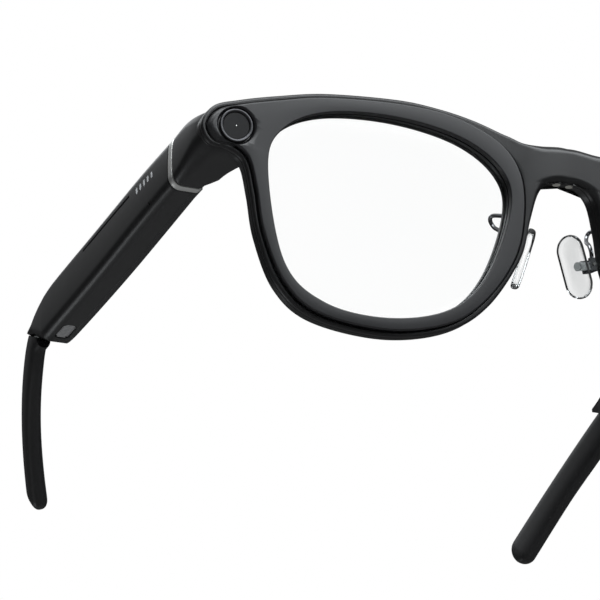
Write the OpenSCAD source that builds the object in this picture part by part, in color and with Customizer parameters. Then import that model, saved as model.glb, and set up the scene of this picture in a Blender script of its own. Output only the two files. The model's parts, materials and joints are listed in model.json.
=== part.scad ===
// Smart glasses: a moulded front with two glued face plates, a camera in the wearer's right endpiece,
// a light in the left one, and two thick folding temples that hold the electronics.
// Axes: -Y is the way the wearer looks, +X is the wearer's left, +Z is up.
// Every right-hand (-X) piece is drawn once and mirrored for the left.

/* [Front] */
// Height of the lens centres above the table
lens_z = 22.8; // [20:0.1:26]
// Distance of the lens plane in front of the origin
front_y = 70.6; // [60:0.1:80]
// Forward lean of the front about X, in degrees
tilt = 8; // [0:1:12]
// Wrap of each half of the front about Z, in degrees
wrap = 4; // [0:1:8]
// Sideways place of each lens centre
lens_x = 35; // [30:1:38]
// Full depth of the rims
rim_depth = 5.5; // [4:0.1:8]
// Depth at which the frame's lip stands behind the face plate's front
lip_depth = 1.2; // [0.6:0.1:2]
// Thickness of a face plate
plate_t = 1.8; // [1.4:0.1:2.4]
// Thickness of a lens
lens_t = 2; // [1.5:0.1:2.4]

/* [Camera and light] */
// Sideways place of the camera from the middle of the front
cam_x = 68.1; // [66:0.1:70]
// Height of the camera above the lens centre
cam_v = 13.9; // [12:0.1:15]
// Outer radius of the camera's bezel
bezel_r = 3.3; // [2.8:0.1:3.5]
// Radius of the camera's window
window_r = 2.65; // [2:0.05:2.8]

/* [Temples] */
// Distance from the lens plane to the temple's front end
temple_start = 19.4; // [17:0.1:24]
// Outer face of a temple, from the middle
temple_out = 74.4; // [72:0.1:76]
// Inner face of a temple, from the middle
temple_in = 67.8; // [66:0.1:70]
// Face on which a temple's shell and cover meet, from the middle
temple_split = 69.2; // [68.6:0.1:70.5]
// Wall of the temple's shell
wall = 1.1; // [0.8:0.1:1.6]
// Thickness of the bright collar
collar_t = 1.7; // [0.5:0.1:2]
// Thickness of an ear tip where it leaves the pod
tip_t = 3.6; // [2.5:0.1:4]
// Height of an ear tip where it leaves the pod
tip_h = 8; // [6:0.5:9]

/* [Hinges] */
// Distance of a hinge pin from the middle
pin_x = 66.3; // [65:0.1:67]
// Distance of a hinge pin behind the lens plane
pin_y = 18.8; // [17:0.1:22]
// Radius of a hinge pin
pin_r = 0.6; // [0.4:0.05:0.8]
// Radius of a hinge knuckle
knuckle_r = 1.3; // [1.1:0.05:1.5]
// Running clearance round the pin in the front knuckle
run_gap = 0.03; // [0.01:0.01:0.1]

/* [Nose pads] */
// Sideways place of a pad's pivot
pad_x = 9.6; // [9.2:0.1:10.5]
// Distance of a pad's pivot behind the lens plane
pad_y = 7.7; // [7:0.1:11]
// Height of a pad's pivot above the lens centre
pad_z = -0.3; // [-1:0.1:1]
// Length of a pad
pad_len = 13; // [11:0.5:14]
// Width of a pad
pad_w = 6.4; // [5:0.2:7]

/* [Capture button] */
// Distance of the button's middle behind the lens plane
button_y = 28.6; // [26:0.1:34]
// Length of the button's cap
button_len = 6.6; // [5:0.1:8]
// Travel of the button
button_travel = 0.35; // [0.2:0.05:0.5]

/* [Hidden] */
$fn = 48;
black = [0.07, 0.07, 0.075];
steel = [0.75, 0.76, 0.78];
big = 200;            // side of a block larger than the whole part
cut = 0.5;            // how far a cutting solid runs past the face it opens
plate_seat = plate_t;  // depth of the floor that a face plate lies on
lens_front = 2;        // depth of the lens's front face
lens_grow = 1.03;      // lens edge, as a multiple of the sight opening
steps = 6;             // points on each stretch of a curve

// Point on a smooth curve between b and c
function bend(a, b, c, d, t) =
    0.5 * (2 * b + (c - a) * t + (2 * a - 5 * b + 4 * c - d) * t * t + (3 * b - a - 3 * c + d) * t * t * t);
// Closed smooth curve through a ring of points
function ring(p, n = steps) = let (m = len(p))
    [for (i = [0 : m - 1]) for (k = [0 : n - 1])
        bend(p[(i + m - 1) % m], p[i], p[(i + 1) % m], p[(i + 2) % m], k / n)];
// Open smooth curve through a row of points
function row(p, n = steps) = let (m = len(p))
    concat([for (i = [0 : m - 2]) for (k = [0 : n - 1])
        bend(p[max(i - 1, 0)], p[i], p[i + 1], p[min(i + 2, m - 1)], k / n)], [p[m - 1]]);
function flip(p) = [for (q = p) [-q[0], q[1]]];
function grow(p, c, s) = [for (q = p) c + (q - c) * s];

// Outlines in the plane of the front, from the middle of the bridge and the lens centre's height
lens_ring = [
    [61.6, 7], [58.7, 14.6], [50, 18.9], [36, 19.8], [22.5, 17.4], [14.2, 12], [12.3, 4.5], [16.6, -8.8],
    [24.2, -16.7], [36.5, -19.8], [49.5, -18.2], [57.8, -11]
];
plate_ring = [
    [35.5, 22.7], [50.4, 21.9], [60, 20], [67, 18.3], [71.6, 16.8], [73.7, 13.6], [72, 10.8], [68.4, 10.2],
    [65.4, 7.9], [63.6, 2], [61.9, -6], [57.6, -15.1], [50.6, -20.4], [36.8, -22.2], [24.5, -19.7],
    [16.8, -14], [11.2, -5.5], [9.4, 3], [10.2, 11.6], [14.8, 17.6], [24.2, 21.6]
];
frame_row = [
    [-2, 18.9], [2, 18.9], [6, 18.4], [9.6, 18.3], [13, 19.6], [20, 21.8], [27.5, 23.2], [36, 23.8],
    [50.2, 23], [60, 21.2], [67.4, 19.4], [72.4, 17.6], [74.7, 13.8], [73, 10.3], [68.9, 9.3], [66.1, 7.2],
    [64.5, 1.6], [62.7, -6.6], [58.4, -15.9], [51, -21.3], [36.8, -23.2], [24, -20.7], [15.8, -14.8],
    [9.9, -5.2], [7.9, 3], [6.3, 8.4], [4.4, 10.8], [2.4, 11.6], [0, 11.7], [-2, 11.7]
];
lens_mid = [37, 0];
lens_curve = flip(ring(lens_ring));
lens_edge = grow(lens_curve, [-lens_mid[0], lens_mid[1]], lens_grow);
plate_curve = flip(ring(plate_ring));
frame_curve = flip(row(frame_row));
// Brow line that the front's flex follows, from the middle to the endpiece
brow_row = [[-1, 16.6], [8, 16.4], [16, 19.4], [27, 21.4], [36, 21.9], [50, 21.1], [60, 18.6], [64.6, 16.2]];
flex_half = 0.5;
flex_t = 0.3;
brow_curve = flip(row(brow_row, 4));

// Temple side view: distance behind the lens plane, height above the lens centre
pod_top = [[30, 18.3], [60, 17.8], [94, 16.9], [104, 15.3], [112, 13.1], [115.4, 11.9]];
pod_under = [[101.5, 5.6], [94, 5.5], [60, 6.3]];
top_front = 18.3;
under_front = 8.3;
// Two points of the slanting face on which pod and ear tip meet
hood = [[101.5, 5.6], [115.4, 11.9]];
hood_angle = atan2(hood[1][1] - hood[0][1], hood[1][0] - hood[0][0]);
// Ear tip centreline: side, distance behind the lens plane, height from the lens centre
tip_points = [[-71.2, 102, 11.4], [-72.2, 112, 9.7], [-69.4, 129.3, -0.9], [-61.4, 142.6, -19]];
tip_rings = 20;
tip_swell = 1;         // what an ear tip's half height gains towards its end
tip_blunt = 0.93;      // where along an ear tip the rounding of its end begins
cavity = [22.2, 98];   // span of a temple's cavity
endpiece_end = temple_start - 0.3;
leaf_t = 0.7;
leaf_h = [9.4, 17.2];  // height span of the hinge, from the lens centre
knuckles = [11.4, 13.2, 15, 16.8];  // where the temple's knuckles end and the front's begins
knuckle_gap = 0.08;
screw_r = 0.5;
front_screw_y = 14.4;  // screws of the leaf on the front, behind the lens plane
temple_screw_y = 24.8; // screws of the leaf on the temple
leaf_screw_z = [10.9, 15.7];
module_w = 5.2;        // camera module behind the window
module_h = 5.6;
module_floor = 6.5;    // depth of the pocket that holds it
cover_screws_at = [[50.8, 11.6], [99.6, 8]];  // distance behind the lens plane, and height
boss_r = 1.3;          // posts that the cover's screws are driven into
screw_seat = 0.9;      // depth of a cover screw's counterbore
screw_end = 71.6;      // how far out a cover screw reaches

// Draws in the plane of the right half: x along it from the middle, y up it, depth behind its face
module on_front() {
    translate([-lens_x, -front_y, lens_z]) rotate([0, 0, -wrap]) rotate([tilt, 0, 0]) rotate([90, 0, 0])
        translate([lens_x, 0, 0]) children();
}
// Slab of a flat outline between two depths
module slab(from, to) {
    translate([0, 0, -to]) linear_extrude(to - from) children();
}
module left() {
    mirror([1, 0, 0]) children();
}
// Works from the lens plane and the lens centre's height
module behind() {
    translate([0, -front_y, lens_z]) children();
}
// Flat side view, extruded between two distances from the middle, on the right
module side_view(inner, outer) {
    translate([-outer, 0, 0]) rotate([90, 0, 90]) linear_extrude(outer - inner) children();
}
module pill(length, width) {
    square([length - width, width], center = true);
    for (s = [-1, 1]) translate([s * (length - width) / 2, 0]) circle(width / 2);
}
module post(r, from, to) {
    translate([0, 0, from]) cylinder(r = r, h = to - from);
}

// ---- front ----
module endpiece() {
    behind() intersection() {
        translate([0, 0, top_front - 12]) linear_extrude(20) polygon([
            [-61.5, 3.6], [-62.6, 6.6], [-64.4, 9.2], [-temple_in, 12.4], [-temple_in, endpiece_end],
            [-temple_out, endpiece_end], [-75, 12], [-75.1, 7], [-74.6, 2.6], [-70, 1.6]
        ]);
        side_view(60, 80) polygon([
            [-2, 18.6], [6, 18.5], [20, top_front], [20, under_front], [12, 8.9], [4, 9.5], [-2, 9.6]
        ]);
        translate([0, 30, 0]) rotate([90, 0, 0]) linear_extrude(40) polygon(concat(
            [[-60, 7], [-60, 19]],
            flip(row([
                [70, 18.7], [72.6, 17.6], [74.4, 15.6], [75.1, 13.2], [74.8, 10.8], [73.6, 9], [71, 8.2]
            ])),
            [[-68, 7]]
        ));
    }
}
// Channel for the flex that joins the camera's side and the light's side
module brow_strip() {
    n = len(brow_curve) - 1;
    polygon(concat(
        [for (i = [0 : n]) brow_curve[i] + [0, flex_half]],
        [for (i = [0 : n]) brow_curve[n - i] - [0, flex_half]]
    ));
}
// Keeps what lies on the right of the middle
module right_half() {
    intersection() {
        children();
        translate([-big, -big, -big]) cube([big, 2 * big, 2 * big]);
    }
}
module leaf_hole_places() {
    for (v = leaf_screw_z) behind() translate([0, front_screw_y, v]) rotate([0, -90, 0]) children();
}
module frame_half() {
    right_half() difference() {
        union() {
            on_front() slab(lip_depth, rim_depth) polygon(frame_curve);
            endpiece();
        }
        on_front() {
            slab(-3, plate_seat) polygon(plate_curve);
            slab(-3, rim_depth + 12) polygon(lens_curve);
            slab(lens_front, lens_front + lens_t) polygon(lens_edge);
            slab(plate_seat - cut, plate_seat + flex_t) brow_strip();
            slab(plate_seat - cut, module_floor) translate([-cam_x, cam_v])
                square([module_w + 0.4, module_h + 0.4], center = true);
        }
        leaf_hole_places() post(screw_r, 60, 71);
        behind() rod(arm_path[0], arm_path[1], arm_r);
    }
}
// Flat land under the bridge, with two holes for the charging contacts
land_z = 11.95;
contact_pitch = 2.8;
contact_r = 0.8;
module contact_places() {
    for (s = [-1, 1]) behind() translate([s * contact_pitch / 2, -0.7, land_z]) children();
}
module front_frame() {
    color(black) difference() {
        union() {
            frame_half();
            left() frame_half();
        }
        behind() translate([-3, -6, land_z - 4]) cube([6, 14, 4]);
        contact_places() post(contact_r, -1, 2.2);
    }
}
module face_plate() {
    color([0.12, 0.12, 0.13]) on_front() difference() {
        slab(0, plate_t) polygon(plate_curve);
        slab(-1, plate_t + 1) polygon(lens_curve);
        translate([-cam_x, cam_v]) post(bezel_r, -plate_t - 1, 1);
    }
}
module lens() {
    color([0.85, 0.9, 0.95, 0.3]) on_front() slab(lens_front, lens_front + lens_t) polygon(lens_edge);
}
module bezel(inner) {
    color([0.35, 0.36, 0.38]) on_front() translate([-cam_x, cam_v]) difference() {
        post(bezel_r, -plate_t, -0.1);
        post(inner, -0.9, 1);
        post(1.7, -plate_t - 1, 1);
    }
}
module camera_bezel() {
    bezel(window_r);
}
module camera_window() {
    color([0.04, 0.04, 0.05]) on_front() translate([-cam_x, cam_v]) post(window_r, -0.9, -0.3);
}
module camera_module() {
    color([0.1, 0.1, 0.11]) on_front() translate([-cam_x, cam_v]) {
        post(1.65, -2.4, -1);
        translate([-module_w / 2, -module_h / 2, 0.2 - module_floor]) cube([module_w, module_h, 4]);
    }
}
module light_bezel() {
    left() bezel(window_r);
}
module light_window() {
    color([0.5, 0.5, 0.52]) left() on_front() translate([-cam_x, cam_v]) post(window_r, -0.9, -0.3);
}
module light_board() {
    color([0.1, 0.3, 0.15]) left() on_front() translate([-cam_x, cam_v]) {
        translate([-2.4, -2.6, -3.2]) cube([4.8, 5.2, 1]);
        post(1, -2.4, -1);
    }
}
module flex_half_strip() {
    right_half() on_front() slab(plate_seat, plate_seat + flex_t) brow_strip();
}
module front_flex() {
    color([0.55, 0.3, 0.1]) {
        flex_half_strip();
        left() flex_half_strip();
    }
}
module charging_contacts() {
    color([0.9, 0.88, 0.8]) contact_places() post(contact_r, 0, 2.2);
}

// ---- hinges ----
module at_pin() {
    behind() translate([-pin_x, pin_y, 0]) children();
}
module front_leaf() {
    color(steel) difference() {
        union() {
            behind() translate([-temple_in, 12.6, leaf_h[0]]) cube([leaf_t, 4.4, leaf_h[1] - leaf_h[0]]);
            at_pin() post(knuckle_r, knuckles[1] + knuckle_gap, knuckles[2] - knuckle_gap);
            behind() translate([-temple_in, 16.6, knuckles[1] + knuckle_gap])
                cube([1, pin_y - 16.6, knuckles[2] - knuckles[1] - 2 * knuckle_gap]);
        }
        at_pin() post(pin_r + run_gap, 0, 30);
        leaf_hole_places() post(screw_r, 60, 71);
    }
}
module temple_leaf() {
    color(steel) difference() {
        union() {
            behind() translate([-temple_in, 21.4, leaf_h[0]]) cube([leaf_t, 6, leaf_h[1] - leaf_h[0]]);
            for (z = [[knuckles[0], knuckles[1]], [knuckles[2], knuckles[3]]]) {
                at_pin() post(knuckle_r, z[0], z[1]);
                behind() translate([-temple_in, pin_y, z[0]]) cube([leaf_t, 3, z[1] - z[0]]);
            }
        }
        at_pin() post(pin_r, 0, 30);
        temple_leaf_hole_places() post(screw_r, 60, 72);
    }
}
module temple_leaf_hole_places() {
    for (v = leaf_screw_z) behind() translate([0, temple_screw_y, v]) rotate([0, -90, 0]) children();
}
module hinge_pin() {
    color(steel) at_pin() {
        post(pin_r, knuckles[0], knuckles[3]);
        post(1, knuckles[3], knuckles[3] + 0.4);
    }
}
// A small screw whose head rests at the given distance from the middle
module leaf_screw(head) {
    post(screw_r, head, head + 2.6);
    post(0.9, head - 0.4, head);
}
module front_leaf_screws() {
    color(steel) {
        leaf_hole_places() leaf_screw(temple_in - leaf_t);
        left() leaf_hole_places() leaf_screw(temple_in - leaf_t);
    }
}
module leaf_screws() {
    color(steel) temple_leaf_hole_places() leaf_screw(temple_in - leaf_t);
}

// ---- nose pads ----
// Wire of an arm, from its socket in the rim, up and back round a loop, and down to the box of the pad;
// a ball a little thicker than the wire fills each bend
arm_r = 0.42;
arm_path = [
    [-10.2, 1.8, 4.9], [-10.9, 8.6, 7.6], [-10.8, 9.9, 7.2], [-10.3, 9.4, 5.6],
    [-9.9, 7.6, 4], [-9.9, 6.9, 2.2], [-10.3, 7.6, 0.6]
];
pad_yaw = -19;
pad_splay = 18;
pad_reach = 4.6;      // from the pivot to the middle of the pad
pad_t = 1.5;
pad_pin_r = 0.35;
boss_w = 1.7;
module rod(a, b, r) {
    d = b - a;
    translate(a) rotate([0, acos(d[2] / norm(d)), atan2(d[1], d[0])]) cylinder(r = r, h = norm(d), $fn = 24);
}
// At a pad's pivot: x runs towards the nose, y along the pin, z up the pad
module at_pad() {
    behind() translate([-pad_x, pad_y, pad_z]) rotate([0, 0, pad_yaw]) rotate([0, pad_splay, 0]) children();
}
module along_pin(r, length) {
    rotate([90, 0, 0]) cylinder(r = r, h = length, center = true);
}
module pad_arm() {
    color(steel) difference() {
        union() {
            behind() for (i = [0 : len(arm_path) - 2]) {
                rod(arm_path[i], arm_path[i + 1], arm_r);
                if (i > 0) translate(arm_path[i]) sphere(arm_r + 0.03);
            }
            at_pad() translate([-1.5, -1.35, -1.3]) cube([2.3, 2.7, 2.6]);
        }
        at_pad() translate([-1.1, -0.9, -2]) cube([4, 1.8, 4]);
        at_pad() along_pin(pad_pin_r, 4);
    }
}
module pad_pin() {
    color(steel) at_pad() along_pin(pad_pin_r, 3);
}
module nose_pad() {
    color([0.85, 0.87, 0.9, 0.5]) difference() {
        at_pad() {
            along_pin(0.8, boss_w);
            translate([0, -boss_w / 2, -0.7]) cube([pad_reach - pad_t / 2 + 0.2, boss_w, 1.4]);
            translate([pad_reach - pad_t / 2, 0, 0]) rotate([90, 0, 90]) linear_extrude(pad_t)
                rotate(90) pill(pad_len, pad_w);
        }
        at_pad() along_pin(pad_pin_r + run_gap, 4);
    }
}

// ---- temples ----
function pod_outline(inset) = concat(
    [[temple_start + inset, under_front + inset], [temple_start + inset, top_front - inset]],
    [for (p = row(pod_top, 4)) p - [0, inset]],
    [for (p = row(pod_under, 4)) p + [0, inset]]
);
module pod_plan() {
    behind() translate([0, 0, -2]) linear_extrude(24) polygon([
        [-temple_out, temple_start], [-temple_out - 0.4, 40], [-temple_out - 0.3, 75],
        [-temple_out + 0.5, 100], [-temple_out + 1.2, 117], [-69.6, 117], [-68.4, 104],
        [-temple_in, 90], [-temple_in, temple_start]
    ]);
}
module pod(inner, outer) {
    intersection() {
        behind() side_view(inner, outer) polygon(pod_outline(0));
        pod_plan();
    }
}
module cavity_space() {
    behind() intersection() {
        side_view(temple_split - cut, temple_out - wall) polygon(pod_outline(wall));
        translate([-80, cavity[0], -5]) cube([20, cavity[1] - cavity[0], 40]);
    }
}
module cover_screw_places() {
    for (q = cover_screws_at) behind() translate([0, q[0], q[1]]) rotate([0, -90, 0]) children();
}
module grille_place() {
    behind() translate([-71, 94.6, 5.4]) children();
}
module collar_zone() {
    behind() translate([-90, temple_start - 1, 0]) cube([30, collar_t + 1, 30]);
}
module temple_shell(with_button) {
    color(black) difference() {
        pod(temple_split, 80);
        collar_zone();
        difference() {
            cavity_space();
            cover_screw_places() post(boss_r, temple_split, 80);
        }
        tip_stub();
        cover_screw_places() post(screw_r, 60, screw_end + 0.8);
        grille_place() linear_extrude(4, center = true) rotate(90) pill(8, 3);
        behind() translate([0, 31.7, 9.4]) rotate([0, -90, 0]) post(0.35, 72, 80);
        if (with_button) {
            at_button() translate([0, 0, -2]) linear_extrude(6) rotate(90) pill(button_len + 0.2, 2.2);
            inlay(temple_out - 0.05) pip_places();
            inlay(temple_out) strip_place();
        }
    }
}
module temple_cover() {
    color(black) difference() {
        pod(60, temple_split);
        collar_zone();
        cover_screw_places() {
            post(screw_r, 60, screw_end);
            post(1, 60, temple_in + screw_seat);
        }
        temple_leaf_hole_places() post(screw_r, 60, 72);
    }
}
module collar() {
    color([0.85, 0.86, 0.88]) intersection() {
        pod(60, 80);
        collar_zone();
    }
}
module cover_screws() {
    color(steel) cover_screw_places() {
        post(screw_r, temple_in + screw_seat, screw_end);
        post(1, temple_in + screw_seat - 0.4, temple_in + screw_seat);
    }
}

// Where the button's cap comes through the top of the pod
module at_button() {
    behind() translate([-71.6, button_y, top_front]) children();
}
module capture_button() {
    color([0.13, 0.13, 0.14]) at_button() {
        translate([0, 0, -1.3]) linear_extrude(1.7) rotate(90) pill(button_len, 2);
        translate([0, 0, -1.6]) linear_extrude(0.4) rotate(90) pill(button_len + 0.8, 2.8);
    }
}
module button_switch() {
    color([0.6, 0.6, 0.62]) at_button() {
        translate([-1, -2, -3.5]) cube([1.8, 4, 1.3]);
        translate([-0.1, 0, -2.3]) cylinder(r = 0.6, h = 0.7 - button_travel);
    }
}
// Thin pieces let into the pod's outer face, from the given distance outwards
module inlay(from) {
    behind() translate([-80, 0, 0]) rotate([90, 0, 90]) linear_extrude(80 - from) children();
}
pip_pitch = 2.1;
module pip_places() {
    for (i = [0 : 4]) translate([30 + i * pip_pitch, 14.9]) rotate(70) pill(1.1, 0.5);
}
module strip_place() {
    translate([57.7, 15.4]) pill(29.6, 0.6);
}
module inlay_piece(from) {
    intersection() {
        pod(60, 80);
        inlay(from) children();
    }
}
module status_pips() {
    color([0.8, 0.8, 0.8]) inlay_piece(temple_out - 0.05) pip_places();
}
module touch_strip() {
    color([0.02, 0.02, 0.02]) inlay_piece(temple_out) strip_place();
}
module battery() {
    color([0.25, 0.45, 0.7]) behind() translate([-73, 56, 8]) cube([3.5, 28, 8]);
}
module board() {
    color([0.1, 0.35, 0.2]) behind() translate([-72, 24, 9.4]) {
        cube([0.8, 25, 5.2]);
        translate([0, 10, 0]) cube([0.8, 15, 7]);
    }
}
module processor() {
    color([0.7, 0.7, 0.72]) behind() translate([-71.2, 36, 10]) cube([1.2, 11, 5.6]);
}
module speaker() {
    color([0.2, 0.2, 0.2]) behind() translate([-73, 86, 7]) cube([3.5, 11, 7.6]);
}
module speaker_grille() {
    color([0.5, 0.5, 0.52]) difference() {
        grille_place() translate([0, 0, 0.3]) linear_extrude(0.4) rotate(90) pill(8, 3);
        grille_place() for (x = [-0.8, 0, 0.8], y = [-2.7 : 0.9 : 2.7]) translate([x, y, 0])
            cylinder(r = 0.25, h = 2);
    }
}
module microphone() {
    color([0.8, 0.75, 0.4]) behind() translate([-73.2, 30.2, 8.9]) cube([1, 3, 1.6]);
}

// ---- ear tips ----
// Centreline: straight to the second point, then one curve to the last
function tip_at(t) = t < 0
    ? tip_points[1] + (tip_points[1] - tip_points[0]) * t
    : tip_points[1] * (1 - t) * (1 - t) + tip_points[2] * 2 * t * (1 - t) + tip_points[3] * t * t;
function unit(v) = v / norm(v);
// Cosine drawn fuller, for sections between an ellipse and a rectangle
function full(c) = sign(c) * pow(abs(c), 0.7);
// Rounded cross-section at t, of half thickness a and half height b
function tip_section(t, a, b) = let (
    way = unit(tip_at(t + 0.01) - tip_at(t - 0.01)),
    side = unit([1, 0, 0] - way * way[0]),
    up = cross(side, way)
) [for (q = [0 : 22.5 : 337.5]) tip_at(t) + side * a * full(cos(q)) + up * b * full(sin(q))];
// Closed skin over a row of sections
module skin(rings) {
    n = len(rings);
    m = len(rings[0]);
    polyhedron(
        points = [for (s = rings) for (q = s) q],
        faces = concat(
            [for (i = [0 : n - 2]) for (k = [0 : m - 1])
                [i * m + k, i * m + (k + 1) % m, (i + 1) * m + k]],
            [for (i = [0 : n - 2]) for (k = [0 : m - 1])
                [i * m + (k + 1) % m, (i + 1) * m + (k + 1) % m, (i + 1) * m + k]],
            [[for (k = [0 : m - 1]) m - 1 - k]],
            [[for (k = [0 : m - 1]) (n - 1) * m + k]]
        )
    );
}
// The tip's end is rounded over its last stretch
function tip_round(t) = t < tip_blunt
    ? 1
    : sqrt(max(1 - pow((t - tip_blunt) / (1.001 - tip_blunt), 2), 0.02));
function tip_half_t(t) = tip_t / 2 + 0.2 * max(t, 0);
function tip_half_h(t) = tip_h / 2 + tip_swell * max(t, 0);
// Stations along the tip: one ahead of it, then even steps, with closer ones where the end is rounded
function tip_stations(last) = concat(
    [-0.9],
    [for (i = [0 : tip_rings]) let (t = last * i / tip_rings) if (t < tip_blunt) t],
    last < 1 ? [] : [for (q = [0 : 15 : 90]) tip_blunt + (1 - tip_blunt) * sin(q)]
);
module tip_skin() {
    skin([for (t = tip_stations(1)) let (f = tip_round(t))
        tip_section(t, tip_half_t(t) * f, tip_half_h(t) * f)]);
}
// The steel core inside the tip stops short of its end
module core_skin() {
    skin([for (t = tip_stations(0.8)) tip_section(t, tip_half_t(t) - 1.2, 1.2)]);
}
// Everything behind and under the slanting face on which pod and tip meet
module under_hood() {
    translate([-100, hood[0][0], hood[0][1]]) rotate([hood_angle, 0, 0]) translate([0, -60, -100])
        cube([60, 200, 100]);
}
// Straight stub of the core that is pressed into the pod
stub_len = 12;
stub_dip = -7.7;  // slope of the tip where it leaves the pod
module tip_stub() {
    behind() difference() {
        translate(tip_points[1]) rotate([stub_dip, 0, 0]) translate([-0.6, -stub_len, -1.2])
            cube([1.2, stub_len, 2.4]);
        under_hood();
    }
}
module tip_core() {
    color(steel) {
        tip_stub();
        behind() intersection() {
            core_skin();
            under_hood();
        }
    }
}
module ear_tip() {
    color(black) behind() difference() {
        intersection() {
            tip_skin();
            under_hood();
        }
        core_skin();
    }
}

front_frame();
face_plate();  // right_face_plate
left() face_plate();  // left_face_plate
lens();  // right_lens
left() lens();  // left_lens
camera_bezel();
camera_window();
camera_module();
light_bezel();
light_window();
light_board();
front_flex();
charging_contacts();
front_leaf();  // right_front_leaf
left() front_leaf();  // left_front_leaf
front_leaf_screws();
pad_arm();  // right_pad_arm
left() pad_arm();  // left_pad_arm
pad_pin();  // right_pad_pin
left() pad_pin();  // left_pad_pin
nose_pad();  // right_nose_pad
left() nose_pad();  // left_nose_pad
temple_shell(true);  // right_temple_shell
temple_cover();  // right_temple_cover
collar();  // right_collar
temple_leaf();  // right_temple_leaf
leaf_screws();  // right_leaf_screws
hinge_pin();  // right_hinge_pin
battery();  // right_battery
board();  // main_board
processor();
speaker();  // right_speaker
speaker_grille();  // right_grille
microphone();  // right_microphone
touch_strip();
status_pips();
button_switch();
capture_button();
cover_screws();  // right_cover_screws
ear_tip();  // right_ear_tip
tip_core();  // right_tip_core
left() temple_shell(false);  // left_temple_shell
left() temple_cover();  // left_temple_cover
left() collar();  // left_collar
left() temple_leaf();  // left_temple_leaf
left() leaf_screws();  // left_leaf_screws
left() hinge_pin();  // left_hinge_pin
left() battery();  // left_battery
left() board();  // power_board
left() speaker();  // left_speaker
left() speaker_grille();  // left_grille
left() microphone();  // left_microphone
left() cover_screws();  // left_cover_screws
left() ear_tip();  // left_ear_tip
left() tip_core();  // left_tip_core
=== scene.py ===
"""Looks of a pair of smart glasses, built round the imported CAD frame.

Sizes inside the classes are millimetres from the lens plane (y) and the lens centre (z);
Datum turns them into the frame's metres.
"""

import json
import logging
import math
from dataclasses import dataclass, field
from enum import Enum
from typing import Iterable, Sequence

import bmesh
import bpy
import numpy as np
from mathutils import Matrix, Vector

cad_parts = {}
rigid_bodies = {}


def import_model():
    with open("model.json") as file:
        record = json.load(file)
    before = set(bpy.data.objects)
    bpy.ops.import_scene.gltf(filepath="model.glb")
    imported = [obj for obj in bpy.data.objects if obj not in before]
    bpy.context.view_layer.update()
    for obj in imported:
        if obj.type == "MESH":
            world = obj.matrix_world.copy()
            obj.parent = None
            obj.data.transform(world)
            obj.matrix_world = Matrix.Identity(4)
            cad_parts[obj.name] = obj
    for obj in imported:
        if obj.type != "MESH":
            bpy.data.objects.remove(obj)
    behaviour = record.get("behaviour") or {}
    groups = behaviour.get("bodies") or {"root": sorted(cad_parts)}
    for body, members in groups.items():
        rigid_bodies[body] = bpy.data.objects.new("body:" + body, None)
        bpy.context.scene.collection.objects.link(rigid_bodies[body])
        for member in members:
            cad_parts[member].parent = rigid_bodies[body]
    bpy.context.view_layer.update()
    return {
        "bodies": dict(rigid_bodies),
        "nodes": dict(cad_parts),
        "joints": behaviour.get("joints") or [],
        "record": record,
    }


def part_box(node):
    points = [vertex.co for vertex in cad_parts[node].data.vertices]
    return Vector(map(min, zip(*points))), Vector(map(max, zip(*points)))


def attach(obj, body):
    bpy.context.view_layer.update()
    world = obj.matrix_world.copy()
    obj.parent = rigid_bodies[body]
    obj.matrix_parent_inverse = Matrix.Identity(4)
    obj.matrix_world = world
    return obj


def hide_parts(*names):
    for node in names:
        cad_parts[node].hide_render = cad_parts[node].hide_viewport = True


logging.basicConfig(level=logging.INFO, format="%(message)s")
LOG = logging.getLogger("smart_glasses")

MM = 0.001
Array = np.ndarray


# ---------------------------------------------------------------- numbers and curves


def smooth(low: float, high: float, value: Array) -> Array:
    """Returns 0 below low, 1 above high and an S-curve between."""
    t = np.clip((np.asarray(value, float) - low) / (high - low), 0, 1)
    return t * t * (3 - 2 * t)


def spline(points: Sequence[Sequence[float]], per: int, closed: bool) -> Array:
    """Samples a Catmull-Rom curve: each stretch is the cubic through its two points whose slopes
    there are half the chord between the neighbours.

    Args:
        points: the points the curve goes through.
        per: samples on each stretch.
        closed: whether the last point joins the first.

    Returns:
        The samples, one a row.
    """
    p = np.asarray(points, float)
    m = len(p)
    count = m if closed else m - 1
    i = np.arange(count)
    pick = (lambda k: p[k % m]) if closed else (lambda k: p[np.clip(k, 0, m - 1)])
    a, b, c, d = (pick(i + k)[:, None] for k in (-1, 0, 1, 2))
    t = (np.arange(per) / per)[None, :, None]
    q = 0.5 * (2 * b + (c - a) * t + (2 * a - 5 * b + 4 * c - d) * t**2 + (3 * b - a - 3 * c + d) * t**3)
    q = q.reshape(-1, p.shape[1])
    return q if closed else np.vstack([q, p[-1]])


def lengths(curve: Array, closed: bool) -> Array:
    """Returns the running length at each sample, and at the closing point of a closed curve."""
    nxt = np.vstack([curve, curve[:1]]) if closed else curve
    return np.concatenate([[0], np.cumsum(np.linalg.norm(np.diff(nxt, axis=0), axis=1))])


def along(curve: Array, where: Array, closed: bool) -> Array:
    """Returns the points at the given running lengths of a curve."""
    run = lengths(curve, closed)
    pts = np.vstack([curve, curve[:1]]) if closed else curve
    at = np.mod(where, run[-1]) if closed else np.clip(where, 0, run[-1])
    return np.stack([np.interp(at, run, pts[:, k]) for k in range(pts.shape[1])], axis=1)


def even(curve: Array, count: int, closed: bool) -> Array:
    """Returns count samples at even spacing along a curve."""
    total = lengths(curve, closed)[-1]
    return along(curve, np.linspace(0, total, count, endpoint=not closed), closed)


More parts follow.
